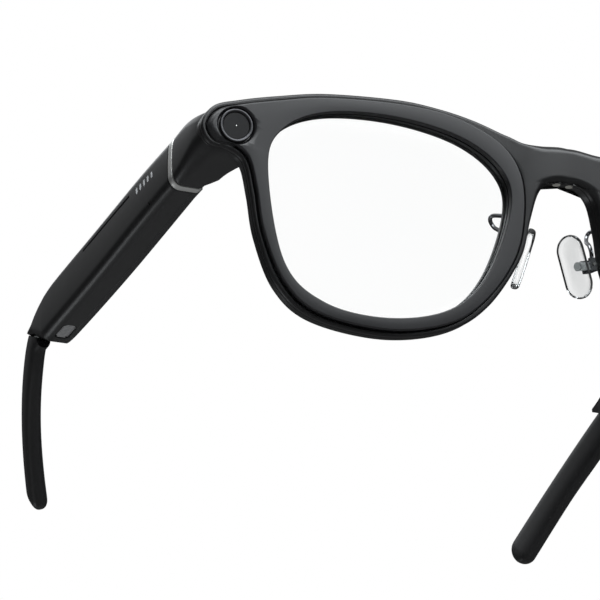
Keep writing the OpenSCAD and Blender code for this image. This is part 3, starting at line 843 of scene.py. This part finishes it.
    def optic(self, side: Side) -> None:
        """Makes the bezel and window: the camera on the right, with a small silver dot in its middle as a
        painted highlight for the lens's glint, and the light on the left.
        """
        kind = "camera" if side is Side.RIGHT else "light"
        crown = [(2.62, 1.6), (2.62, 0.42), (2.66, 0.3), (2.74, 0.22), (2.86, 0.16), (3.02, 0.13),
                 (3.14, 0.15), (3.22, 0.21), (3.26, 0.32), (3.26, 1.7), (0.5, 1.7)]
        ring = self.lathe(f"{kind}_ring", crown, side)
        self.maker.finish(ring, "front", self.looks.gunmetal, "bezel_metal", f"{kind}_bezel")
        rims = [(0, 0.42), (0.1, 0.43), (0.18, 0.47), (0.2, 0.5), (2.55, 0.5), (2.61, 0.9), (0, 0.9)]
        face = self.lathe(f"{kind}_face", rims, side)
        look = self.looks.glass if side is Side.RIGHT else self.looks.diffuser
        self.maker.finish(face, "front", look, "window_glass", f"{kind}_window")
        if side is Side.RIGHT:
            # A silver dot in the window's middle: a painted highlight standing in for the glint on the
            # camera's lens
            dot = [(0, 0.38), (0.09, 0.39), (0.12, 0.42), (0.12, 0.55), (0, 0.55)]
            glint_dot = self.lathe("camera_painted_glint", dot, side)
            self.maker.finish(glint_dot, "front", self.looks.silver, "window_glass", "camera_window")

    def make(self) -> None:
        """Makes every piece of the front."""
        self.frame()
        for side in Side:
            self.plate(side)
            self.lens(side)
            self.optic(side)


def section(y: float, x_in: float, x_out: float, z_low: float, z_high: float,
            radii: tuple[float, float, float, float], crown: float = 0.35) -> Array:
    """Returns one rounded upright section of a temple or endpiece on the right.

    The loop is a rectangle whose corners are quarter circles, and whose outer face bows out by the
    crown at mid-height and by nothing at its corners.

    Args:
        y: distance behind the lens plane.
        x_in: inner face.
        x_out: outer face, more negative.
        z_low: underside.
        z_high: top.
        radii: corners inner-top, outer-top, outer-low and inner-low.
        crown: how far the outer face bows.

    Returns:
        Points round the section, always as many.
    """
    most = 0.48 * min(x_in - x_out, z_high - z_low)
    corners = ((x_in, z_high, -1, -1, 0.0), (x_out, z_high, 1, -1, 90.0),
               (x_out, z_low, 1, 1, 180.0), (x_in, z_low, -1, 1, 270.0))
    loop = []
    for (x, z, sx, sz, start), radius in zip(corners, radii):
        r = min(radius, most)
        a = np.radians(start + np.linspace(0, 90, 15))
        loop.append(np.stack([x + sx * r + r * np.cos(a), z + sz * r + r * np.sin(a)], 1))
    parts = []
    for k in range(4):
        nxt = loop[(k + 1) % 4][0]
        t = np.linspace(0, 1, 14)[1:-1, None]
        parts += [loop[k], loop[k][-1] + (nxt - loop[k][-1]) * t]
    flat = np.vstack(parts)
    half = 0.5 * (z_high - z_low)
    lift = 1 - np.clip(np.abs(flat[:, 1] - (z_low + half)) / max(half, 1e-6), 0, 1) ** 2
    share = np.clip((x_in - flat[:, 0]) / max(x_in - x_out, 1e-6), 0, 1) ** 3
    flat[:, 0] += crown * (1 - lift) * share
    return np.stack([flat[:, 0], np.full(len(flat), y), flat[:, 1]], 1)


# ---------------------------------------------------------------- the temples


@dataclass(frozen=True)
class Temple:
    """One folding temple: shell, cover, collar, ear tip and the small parts let into the shell.

    Args:
        maker: builds the pieces.
        looks: the materials.
        side: which temple.
        start: where the pod begins, behind the lens plane.
        collar_t: thickness of the bright collar.
        split: where shell and cover meet, from the middle.
        pips: how many status marks there are.
        pip_y: the first mark's place, behind the lens plane.
        pip_pitch: from one mark to the next.
        pip_z: the marks' height.
        strip: place and height of the touch strip's middle.
        grille_at: the speaker screen's middle, across and along.
        button_at: the capture button's middle, across and along.
    """

    maker: Maker
    looks: Finishes
    side: Side
    start: float = 19.4
    collar_t: float = 1.7
    split: float = 69.2
    pips: int = 5
    pip_y: float = 30.0
    pip_pitch: float = 2.1
    pip_z: float = 14.9
    strip: tuple[float, float] = (57.7, 15.4)
    grille_at: tuple[float, float] = (-71.0, 94.6)
    button_at: tuple[float, float] = (-71.6, 28.6)

    @property
    def body(self) -> str:
        """Name of the CAD body this temple moves with."""
        return f"{self.side.value}_temple"

    @staticmethod
    def outline(y: float) -> tuple[float, float, float, float]:
        """Returns the pod's inner face, outer face, underside and top at a distance behind the plane."""
        top = spline([[19.4, 18.9], [35, 18.6], [60, 17.9], [88, 17.4], [98, 17.0], [106, 15.8], [112, 13.9],
                      [115.4, 12.5]], 12, False)
        under = spline([[19.4, 8.3], [60, 6.3], [94, 5.5], [101.5, 5.6]], 12, False)
        outer = spline([[19.4, -74.4], [40, -74.8], [75, -74.8], [98, -74.7], [108, -74.3],
                        [115.4, -73.6]], 12, False)
        inner = spline([[19.4, -67.8], [90, -67.8], [104, -68.4], [115.4, -69.4]], 12, False)
        low = float(np.interp(y, under[:, 0], under[:, 1]))
        if y > 101.5:
            low = 5.6 + (y - 101.5) * 6.3 / 13.9
        return (float(np.interp(y, inner[:, 0], inner[:, 1])), float(np.interp(y, outer[:, 0], outer[:, 1])),
                low, float(np.interp(y, top[:, 0], top[:, 1])))

    def stations(self, first: float) -> list[tuple[float, float]]:
        """Returns places along the pod with how far each section shrinks for the rounded ends."""
        front = [(first, 0.16), (first + 0.05, 0.05), (first + 0.16, 0.0)]
        middle = [(float(y), 0.0) for y in np.linspace(first + 0.6, 100.5, 64)]
        tail = [(101.1, 0.0), (101.5, 0.01), (101.9, 0.02), (102.4, 0.03), (103.2, 0.04), (104.4, 0.04)]
        tail += [(float(y), 0.04) for y in np.linspace(105.6, 114.4, 12)] + [(115.0, 0.06), (115.3, 0.12)]
        return front + middle + tail

    def pod(self, name: str, x_range: tuple[float, float], first: float,
            radii: tuple[float, float, float, float], crown: float) -> bpy.types.Object:
        """Makes a lengthwise slice of the pod as rounded sections one behind the other.

        Args:
            name: the piece's name.
            x_range: inner and outer limits of the slice, from the middle.
            first: where it begins.
            radii: corners inner-top, outer-top, outer-low and inner-low.
            crown: how far its outer face bows.

        Returns:
            The piece.
        """
        rings = []
        for y, shrink in self.stations(first):
            xi, xo, low, high = self.outline(y)
            xi, xo = min(xi, -x_range[0]), max(xo, -x_range[1])
            rings.append(section(y, xi - min(shrink, 0.1), xo + shrink, low + shrink, high - shrink,
                                 radii, crown))
        skin = Skin()
        skin.tube(np.stack(rings))
        return self.maker.build(name, skin, self.side, sharp=50)

    @staticmethod
    def pill(length: float, width: float, turn: float = 0.0, count: int = 14) -> Array:
        """Returns the outline of a slot with round ends, turned by an angle in degrees."""
        r, half = width / 2, (length - width) / 2
        a = np.linspace(-90, 90, count)
        right = np.stack([half + r * np.cos(np.radians(a)), r * np.sin(np.radians(a))], 1)
        loop = np.vstack([right, -right])
        t = math.radians(turn)
        return loop @ np.array([[math.cos(t), math.sin(t)], [-math.sin(t), math.cos(t)]])

    def bar(self, loop: Array, centre: tuple[float, float, float], axis: str,
            steps: Sequence[tuple[float, float]]) -> Array:
        """Returns rings of a loop swept along an axis.

        Args:
            loop: the outline.
            centre: its middle.
            axis: "x" for outlines drawn in y and z, "z" for outlines drawn in x and y.
            steps: place along the axis and growth of the outline at each ring.

        Returns:
            The rings.
        """
        rings = []
        for at, grow in steps:
            size = loop + grow * outward(loop)
            ring = np.zeros((len(loop), 3))
            if axis == "x":
                ring[:, 0], ring[:, 1], ring[:, 2] = at, centre[1] + size[:, 0], centre[2] + size[:, 1]
            else:
                ring[:, 0], ring[:, 1], ring[:, 2] = centre[0] + size[:, 0], centre[1] + size[:, 1], at
            rings.append(ring)
        return np.stack(rings)

    def cutters(self) -> Skin:
        """Returns the openings of the shell: button slot, pips, touch groove, microphone and grille."""
        skin = Skin()
        hole = self.pill(0.72, 0.7)
        skin.tube(self.bar(hole, (0, 31.7, 9.4), "x", [(-76, 0.1), (-74.7, 0.12), (-74.4, 0), (-72.5, 0)]))
        grille = self.pill(8, 3, 90)
        skin.tube(self.bar(grille, (*self.grille_at, 0), "z",
                           [(4.0, 0.22), (5.35, 0.18), (5.7, 0), (6.4, 0)]))
        if self.side is Side.RIGHT:
            slot = self.pill(6.8, 2.2, 90)
            skin.tube(self.bar(slot, (*self.button_at, 0), "z",
                               [(16.4, 0), (18.1, 0), (18.3, 0.16), (19, 0.2)]))
            for k in range(self.pips):
                pip = self.pill(1.54, 0.92, 70)
                place = (0, self.pip_y + self.pip_pitch * k, self.pip_z)
                skin.tube(self.bar(pip, place, "x", [(-76, 0.03), (-74.6, 0), (-74.35, 0)]))
            groove = self.pill(29.6, 0.46, -0.8)
            skin.tube(self.bar(groove, (0, *self.strip), "x", [(-76, 0.1), (-74.9, 0.06), (-74.4, 0)]))
        return skin

    def shell(self) -> bpy.types.Object:
        """Makes the outer shell, with its openings cut."""
        piece = self.pod(f"{self.side.value}_shell", (self.split - 0.02, 80),
                         self.start + self.collar_t + 0.03, (0.14, 1.9, 2.3, 0.14), 0.3)
        cutter = self.maker.build("cutter", self.cutters(), self.side)
        self.maker.cut(piece, cutter, 45)
        return self.maker.finish(piece, self.body, self.looks.frame, "frame_black",
                                 f"{self.side.value}_temple_shell")

    def cover(self) -> bpy.types.Object:
        """Makes the inner cover, with counterbores over its screws."""
        piece = self.pod(f"{self.side.value}_cover", (60, self.split), self.start + self.collar_t + 0.03,
                         (0.9, 0.1, 0.1, 0.9), 0.0)
        skin = Skin()
        a = np.linspace(0, 2 * math.pi, 41)[:-1]
        for y, z in ((50.8, 11.6), (99.6, 8.0)):
            round_hole = np.stack([1.05 * np.cos(a), 1.05 * np.sin(a)], 1)
            skin.tube(self.bar(round_hole, (0, y, z), "x", [(-68.72, 0), (-67.9, 0), (-66, 0.1)]))
        self.maker.cut(piece, self.maker.build("cutter", skin, self.side), 45)
        return self.maker.finish(piece, self.body, self.looks.frame, "frame_black",
                                 f"{self.side.value}_temple_cover")

    def collar(self) -> bpy.types.Object:
        """Makes the bright collar: a slice of the pod standing a hair proud, its edges eased."""
        rings = []
        end = self.start + self.collar_t
        for y, grow in ((self.start + 0.02, -0.14), (self.start + 0.06, -0.04), (self.start + 0.16, 0.03),
                        (self.start + 0.3, 0.05), (end - 0.3, 0.05), (end - 0.12, 0.02), (end - 0.05, -0.05),
                        (end, -0.14)):
            xi, xo, low, high = self.outline(y)
            rings.append(section(y, xi + grow, xo - grow, low - grow, high + grow,
                                 (1.0, 1.95, 2.35, 1.0), 0.3))
        skin = Skin()
        skin.tube(np.stack(rings))
        piece = self.maker.build(f"{self.side.value}_ring", skin, self.side, sharp=60)
        return self.maker.finish(piece, self.body, self.looks.silver, "collar_silver",
                                 f"{self.side.value}_collar")

    def tip(self) -> bpy.types.Object:
        """Makes the ear tip: an oval section swept down a curve, straight then bent, with a blunt end.

        The centreline leaves the pod in a straight line, then follows the parabola that three points
        steer, averaged over a short stretch so that it bends without a kink. The section grows slowly
        in height, is deeper at its root and rounds off over the last stretch.
        """
        p = np.array([[-71.2, 102, 11.4], [-72.2, 112, 9.7], [-69.4, 129.3, -0.9], [-61.4, 142.6, -19]])

        def centre(t: Array) -> Array:
            """Returns points of the centreline, from 0 where the bend begins to 1 at the end."""
            t = np.asarray(t, float)[:, None, None] + np.linspace(-0.16, 0.16, 9)[None, :, None]
            bent = p[1] * (1 - t) ** 2 + p[2] * 2 * t * (1 - t) + p[3] * t**2
            return np.where(t < 0, p[1] + (p[1] - p[0]) * t, bent).mean(axis=1)

        blunt = 0.93
        ends = blunt + (1 - blunt) * np.sin(np.linspace(0, math.pi / 2, 12))
        t = np.concatenate([[-0.35], np.linspace(-0.25, blunt, 60)[:-1], ends])
        round_off = np.where(t < blunt, 1, np.sqrt(np.maximum(1 - ((t - blunt) / (1.0005 - blunt)) ** 2, 0)))
        way = centre(t + 0.01) - centre(t - 0.01)
        way /= np.linalg.norm(way, axis=1, keepdims=True)
        across = np.array([1.0, 0, 0]) - way * way[:, :1]
        across /= np.linalg.norm(across, axis=1, keepdims=True)
        up = np.cross(across, way)
        half_t = (1.8 + 0.2 * np.maximum(t, 0)) * round_off
        half_h = (4 + np.maximum(t, 0)) * round_off - 0.1
        root = 1.0 * smooth(0.6, 0.15, t) * smooth(-0.1, 0.15, t)
        q = np.linspace(0, 2 * math.pi, 56, endpoint=False)
        c = np.sign(np.cos(q)) * np.abs(np.cos(q)) ** 0.72
        s = np.sign(np.sin(q)) * np.abs(np.sin(q)) ** 0.72
        width = np.maximum(half_t, 0.01)[:, None] * c
        height = (np.maximum(half_h, 0.01)[:, None] + root[:, None] * (s < 0)) * s
        rings = centre(t)[:, None] + across[:, None] * width[..., None] + up[:, None] * height[..., None]
        ceiling = 5.6 + (rings[..., 1] - 101.5) * 6.3 / 13.9
        rings[..., 2] = np.where(rings[..., 1] < 117, np.minimum(rings[..., 2], ceiling), rings[..., 2])
        skin = Skin()
        skin.tube(rings)
        piece = self.maker.build(f"{self.side.value}_tip", skin, self.side)
        return self.maker.finish(piece, self.body, self.looks.soft, "frame_black",
                                 f"{self.side.value}_ear_tip")

    def button(self) -> bpy.types.Object:
        """Makes the capture button's cap: a slot-shaped key with a rounded, slightly dished top."""
        loop = self.pill(6.6, 2.0, 90)
        rings = self.bar(loop, (*self.button_at, 0), "z", [
            (16.75, 0.35), (17.1, 0.35), (17.12, 0), (18.4, 0), (18.52, -0.04), (18.62, -0.12),
            (18.69, -0.26), (18.7, -0.45), (18.66, -0.7),
        ])
        skin = Skin()
        skin.tube(rings)
        piece = self.maker.build("button_cap", skin)
        return self.maker.finish(piece, "button", self.looks.frame, "frame_black", "capture_button")

    def inlays(self) -> None:
        """Makes the grey pips, a hair proud of the shell's face, and the touch strip in its groove."""
        pips = Skin()
        for k in range(self.pips):
            y = self.pip_y + self.pip_pitch * k
            face = self.outline(y)[1] - 0.01
            pips.tube(self.bar(self.pill(1.48, 0.86, 70), (0, y, self.pip_z), "x",
                               [(-74.3, 0), (face + 0.05, 0), (face, -0.06)]))
        self.maker.finish(self.maker.build("pips", pips), self.body, self.looks.pip, "pip_grey",
                          "status_pips")
        # The touch strip takes the near-black floor finish: partly painted shade for the groove it sits in
        strip = Skin()
        strip.tube(self.bar(self.pill(29.5, 0.32, -0.8), (0, *self.strip), "x",
                            [(-74.35, 0), (-74.62, 0), (-74.68, -0.08)]))
        self.maker.finish(self.maker.build("strip", strip), self.body, self.looks.seam, "frame_black",
                          "touch_strip")

    def grille(self) -> bpy.types.Object:
        """Makes the speaker's screen: a black backing crossed by bright wires both ways."""
        back = Skin()
        x0, y0 = self.grille_at
        # The backing takes the near-black floor finish: partly painted shade behind the screen
        back.tube(self.bar(self.pill(7.9, 2.9, 90), (x0, y0, 0), "z", [(6.1, 0), (5.9, 0), (5.86, -0.06)]))
        piece = self.maker.build(f"{self.side.value}_screen_back", back, self.side)
        self.maker.finish(piece, self.body, self.looks.seam, "frame_black", f"{self.side.value}_grille")
        skin = Skin()
        for x in (-0.7, 0.7):
            skin.tube(self.bar(self.pill(7.4, 0.2, 90, 6), (x0 + x, y0, 0), "z",
                               [(5.9, 0), (5.78, 0), (5.72, -0.04)]))
        for y in np.arange(-3.4, 3.41, 0.85):
            reach = 1.4 - 0.5 * max(0.0, abs(y) - 2.6)
            skin.tube(self.bar(self.pill(2 * reach, 0.42, 0, 6), (x0, y0 + y, 0), "z",
                               [(5.9, 0), (5.7, 0), (5.63, -0.04)]))
        piece = self.maker.build(f"{self.side.value}_screen", skin, self.side)
        return self.maker.finish(piece, self.body, self.looks.mesh, "grille_metal",
                                 f"{self.side.value}_grille")

    def make(self) -> None:
        """Makes every piece of the temple."""
        self.shell()
        self.cover()
        self.collar()
        self.tip()
        self.grille()
        if self.side is Side.RIGHT:
            self.button()
            self.inlays()


# ---------------------------------------------------------------- nose pads


@dataclass(frozen=True)
class NosePad:
    """One nose pad with its wire arm.

    Args:
        maker: builds the pieces.
        looks: the materials.
        side: which pad.
        pivot: the rocking axis's middle, on the right.
        yaw: turn about the vertical, in degrees.
        splay: lean outwards, in degrees.
    """

    maker: Maker
    looks: Finishes
    side: Side
    pivot: tuple[float, float, float] = (-9.6, 7.7, -0.3)
    yaw: float = -19.0
    splay: float = 18.0

    def local(self, points: Array) -> Array:
        """Turns points drawn at the pivot (x to the nose, y along the pin, z up the pad) into place."""
        a, b = math.radians(self.splay), math.radians(self.yaw)
        lean = np.array([[math.cos(a), 0, math.sin(a)], [0, 1, 0], [-math.sin(a), 0, math.cos(a)]])
        turn = np.array([[math.cos(b), -math.sin(b), 0], [math.sin(b), math.cos(b), 0], [0, 0, 1]])
        return np.asarray(points, float) @ (turn @ lean).T + np.array(self.pivot)

    def pad(self) -> bpy.types.Object:
        """Makes the silicone pad, a dished pill with soft edges, and the milky ribbed boss on its back."""
        loop = Temple.pill(13.0, 6.4, 90, 22)
        dish = []
        for x, grow, shrink in ((3.62, -0.9, 0.001), (3.62, -0.9, 0.3), (3.62, -0.9, 0.7), (3.63, -0.9, 1),
                                (3.68, -0.5, 1), (3.8, -0.24, 1), (4.0, -0.06, 1), (4.4, 0.0, 1),
                                (4.8, -0.05, 1), (5.1, -0.22, 1), (5.3, -0.5, 1), (5.38, -0.9, 1),
                                (5.36, -0.9, 0.7), (5.3, -0.9, 0.3), (5.28, -0.9, 0.001)):
            size = (loop + grow * outward(loop)) * shrink
            bend = 0.012 * (size[:, 1] ** 2) * -1.0
            dish.append(self.local(np.stack([x + bend * 0.35, size[:, 0], size[:, 1]], 1)))
        skin = Skin()
        skin.tube(np.stack(dish))
        piece = self.maker.build(f"{self.side.value}_pad_piece", skin, self.side, sharp=70)
        self.maker.finish(piece, f"{self.side.value}_pad", self.looks.silicone, "pad_silicone",
                          f"{self.side.value}_nose_pad")
        boss = []
        angle = np.linspace(0, 2 * math.pi, 40, endpoint=False)
        for x, size in ((-0.7, 0.42), (-0.6, 0.6), (-0.2, 0.76), (0.5, 0.8), (1.1, 0.78), (1.25, 0.66),
                        (1.5, 0.66),
                        (1.65, 0.84), (1.85, 0.84), (2.0, 0.68), (2.2, 0.68), (2.35, 0.9), (2.55, 0.9),
                        (2.7, 0.74), (2.9, 0.74), (3.05, 0.98), (3.4, 0.98), (3.64, 1.0)):
            ring = np.stack([np.full(40, x), min(size, 0.84) * np.cos(angle),
                             min(size, 0.9) * np.sin(angle)], 1)
            boss.append(self.local(ring))
        skin = Skin()
        skin.tube(np.stack(boss))
        piece = self.maker.build(f"{self.side.value}_pad_boss", skin, self.side, sharp=70)
        return self.maker.finish(piece, f"{self.side.value}_pad", self.looks.frost, "pad_silicone",
                                 f"{self.side.value}_nose_pad")

    def arm(self) -> bpy.types.Object:
        """Makes the bent wire, a tube along a smooth curve, and the folded box that holds the pad."""
        path = spline([[-10.2, 1.8, 4.9], [-10.4, 5.2, 6.3], [-10.9, 8.6, 7.6], [-10.8, 9.9, 7.2],
                       [-10.3, 9.4, 5.6], [-9.9, 7.6, 4], [-9.9, 6.9, 2.2], [-10.3, 7.6, 0.6]], 16, False)
        way = np.gradient(path, axis=0)
        way /= np.linalg.norm(way, axis=1, keepdims=True)
        side = np.cross(way, [1.0, 0, 0])
        side /= np.linalg.norm(side, axis=1, keepdims=True)
        other = np.cross(way, side)
        q = np.linspace(0, 2 * math.pi, 24, endpoint=False)
        rings = path[:, None] + 0.42 * (side[:, None] * np.cos(q)[None, :, None]
                                        + other[:, None] * np.sin(q)[None, :, None])
        skin = Skin()
        skin.tube(rings)
        outline = np.array([[-1.5, -1.35], [0.8, -1.35], [0.8, -0.92], [-1.08, -0.92], [-1.08, 0.92],
                            [0.8, 0.92], [0.8, 1.35], [-1.5, 1.35]])
        rings = [self.local(np.stack([outline[:, 0], outline[:, 1], np.full(8, z)], 1)) for z in (-1.3, 1.3)]
        walls = Skin()
        points = np.vstack(rings)
        walls.add(points, [[k, (k + 1) % 8, 8 + (k + 1) % 8, 8 + k] for k in range(8)]
                  + [list(range(7, -1, -1)), list(range(8, 16))])
        skin.add(np.vstack(walls.points), walls.faces)
        piece = self.maker.build(f"{self.side.value}_arm", skin, self.side, sharp=35)
        return self.maker.finish(piece, "front", self.looks.chrome, "arm_chrome",
                                 f"{self.side.value}_pad_arm")

    def make(self) -> None:
        """Makes the pad and its arm."""
        self.pad()
        self.arm()


# ---------------------------------------------------------------- parts kept from the CAD


@dataclass(frozen=True)
class KeptParts:
    """Parts whose CAD shape is shown as it is, with a real finish and eased edges.

    Args:
        looks: the materials.
    """

    frame: dict
    looks: Finishes

    def make(self) -> None:
        """Gives each kept part its material."""
        looks = self.looks
        plan = {
            "front_leaf": looks.steel, "temple_leaf": looks.steel, "screws": looks.steel,
            "hinge_pin": looks.steel, "pad_pin": looks.steel, "tip_core": looks.steel,
            "contacts": looks.gold, "battery": looks.cell, "board": looks.laminate, "flex": looks.film,
            "processor": looks.gunmetal, "speaker": looks.module, "microphone": looks.gold,
            "switch": looks.module, "camera_module": looks.module,
        }
        for name, part in self.frame["nodes"].items():
            if part.hide_render:
                continue
            found = [look for key, look in plan.items() if key in name]
            if not found:
                LOG.info("%s has no finish planned", name)
                continue
            for place in part.material_slots:
                place.material = found[0]
            if not part.material_slots:
                part.data.materials.append(found[0])
            if found[0] in (looks.steel, looks.gold):
                soften = part.modifiers.new("eased edges", "BEVEL")
                soften.width, soften.segments, soften.limit_method = 0.06 * MM, 2, "ANGLE"
                soften.angle_limit = math.radians(40)
            LOG.info("%s keeps its CAD shape", name)


# ---------------------------------------------------------------- the studio


@dataclass(frozen=True)
class Studio:
    """Camera, pale floor, white backdrop and soft lights.

    Args:
        datum: places the camera in the row frame.
        lens_mm: focal length on a 36 mm wide sensor.
        yaw: turn of the view from straight ahead, in degrees.
        pitch: how far it looks up.
        roll: its roll.
        eye: the camera's place, from the lens plane and the lens centre's height, in millimetres.
    """

    datum: Datum
    lens_mm: float = 162.0
    yaw: float = 22.804
    pitch: float = 21.7324
    roll: float = -0.5118
    eye: tuple[float, float, float] = (-235.2216, -426.6699, -204.4579)

    def camera(self) -> None:
        """Adds the camera, looking up from below and from the wearer's right."""
        lens = bpy.data.cameras.new("camera")
        lens.lens, lens.sensor_width = self.lens_mm, 36.0
        lens.clip_start, lens.clip_end = 0.01, 20.0
        holder = bpy.data.objects.new("camera", lens)
        t, p, r = (math.radians(v) for v in (self.yaw, self.pitch, self.roll))
        ahead = np.array([math.sin(t) * math.cos(p), math.cos(t) * math.cos(p), math.sin(p)])
        level = np.array([math.cos(t), -math.sin(t), 0.0])
        rise = np.cross(level, ahead)
        right = math.cos(r) * level + math.sin(r) * rise
        up = -math.sin(r) * level + math.cos(r) * rise
        x, y, z = self.datum.place(np.array(self.eye))[0]
        holder.matrix_world = (
            (right[0], right[1], right[2], 0), (up[0], up[1], up[2], 0),
            (-ahead[0], -ahead[1], -ahead[2], 0), (x, y, z, 1),
        )
        bpy.context.scene.collection.objects.link(holder)
        bpy.context.scene.camera = holder

    def backdrop(self) -> None:
        """Sets a backdrop that is white to the camera and dim, brighter upwards, to everything else."""
        world = bpy.data.worlds.new("studio")
        world.use_nodes = True
        tree = world.node_tree
        tree.nodes.clear()
        direction = node(tree, "ShaderNodeTexCoord").outputs["Generated"]
        height = node(tree, "ShaderNodeSeparateXYZ", {"Vector": direction}).outputs["Z"]
        above = node(tree, "ShaderNodeMapRange", {
            "Value": height, "From Min": 0.2, "From Max": 0.9, "To Min": 0.05, "To Max": 0.55,
        })
        below = node(tree, "ShaderNodeMapRange", {
            "Value": height, "From Min": -0.1, "From Max": -0.5, "To Min": 0.0, "To Max": 0.17,
        })
        ramp = node(tree, "ShaderNodeMath", {
            0: above.outputs["Result"], 1: below.outputs["Result"],
        }, operation="ADD")
        fill = node(tree, "ShaderNodeBackground", {"Color": linear("#f4f6f8"), "Strength": ramp.outputs[0]})
        white = node(tree, "ShaderNodeBackground", {"Color": (1, 1, 1, 1), "Strength": 1.0})
        seen = node(tree, "ShaderNodeLightPath").outputs["Is Camera Ray"]
        both = node(tree, "ShaderNodeMixShader", {0: seen, 1: fill.outputs[0], 2: white.outputs[0]})
        out = node(tree, "ShaderNodeOutputWorld")
        tree.links.new(both.outputs[0], out.inputs["Surface"])
        bpy.context.scene.world = world

    def light(self, name: str, place: Sequence[float], target: Sequence[float], size: tuple[float, float],
              power: float) -> None:
        """Adds a softbox.

        Args:
            name: the light's name.
            place: its middle, in metres.
            target: the point it faces.
            size: its width and height.
            power: its power in watts.
        """
        lamp = bpy.data.lights.new(name, "AREA")
        lamp.shape, lamp.size, lamp.size_y, lamp.energy = "RECTANGLE", size[0], size[1], power
        lamp.color = (0.94, 0.975, 1.0)
        holder = bpy.data.objects.new(name, lamp)
        holder.location = place
        aim = Vector(target) - Vector(place)
        holder.rotation_euler = aim.to_track_quat("-Z", "Y").to_euler()
        holder.visible_camera = False
        bpy.context.scene.collection.objects.link(holder)

    def floor(self) -> None:
        """Adds the pale floor: solid from above, and clear from below where the camera may stand."""
        mesh = bpy.data.meshes.new("floor")
        mesh.from_pydata([(-3, -3, 0), (3, -3, 0), (3, 3, 0), (-3, 3, 0)], [], [(0, 1, 2, 3)])
        floor = bpy.data.objects.new("floor", mesh)
        bpy.context.scene.collection.objects.link(floor)
        material = bpy.data.materials.new("pale_floor")
        material.use_nodes = True
        tree = material.node_tree
        tree.nodes.clear()
        where = node(tree, "ShaderNodeTexCoord").outputs["Object"]
        mottle = node(tree, "ShaderNodeTexNoise", {"Vector": where, "Scale": grains(60), "Detail": 3.0})
        tone = node(tree, "ShaderNodeMix", {
            "Factor": mottle.outputs["Fac"], "A": linear("#e9e9e8"), "B": linear("#f1f1f0"),
        }, data_type="RGBA")
        matt = node(tree, "ShaderNodeBsdfDiffuse", {"Color": tone.outputs["Result"]})
        clear = node(tree, "ShaderNodeBsdfTransparent")
        below = node(tree, "ShaderNodeNewGeometry").outputs["Backfacing"]
        mixed = node(tree, "ShaderNodeMixShader", {0: below, 1: matt.outputs[0], 2: clear.outputs[0]})
        out = node(tree, "ShaderNodeOutputMaterial")
        tree.links.new(mixed.outputs[0], out.inputs["Surface"])
        mesh.materials.append(material)
        floor.visible_glossy = False
        floor.visible_shadow = False

    def make(self) -> None:
        """Sets up the whole studio."""
        bpy.context.scene.view_settings.view_transform = "Standard"
        self.camera()
        self.backdrop()
        self.floor()
        self.light("key softbox", (-0.35, -0.45, 1.0), (0, 0, 0.02), (0.9, 0.6), 9)
        self.light("front softbox", (0.15, -0.62, 0.38), (0, 0, 0.04), (0.8, 0.36), 5.6)
        self.light("rear high strip", (-0.05, 0.95, 0.75), (-0.07, 0.05, 0.03), (0.9, 0.25), 0.7)
        self.light("rear low strip", (-0.40, 0.78, -0.27), (-0.07, 0.05, 0.03), (0.30, 0.10), 0.2)


def main() -> None:
    """Builds the glasses from the frame outwards, then the studio round them."""
    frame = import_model()
    maker = Maker(Datum.from_frame())
    looks = Finishes.make()
    Front(maker, looks).make()
    for side in Side:
        Temple(maker, looks, side).make()
        NosePad(maker, looks, side).make()
    KeptParts(frame, looks).make()
    Studio(maker.datum).make()
    LOG.info("%d pieces, %d faces", len(maker.bodies), sum(maker.bodies.values()))


if __name__ == "__main__":
    main()
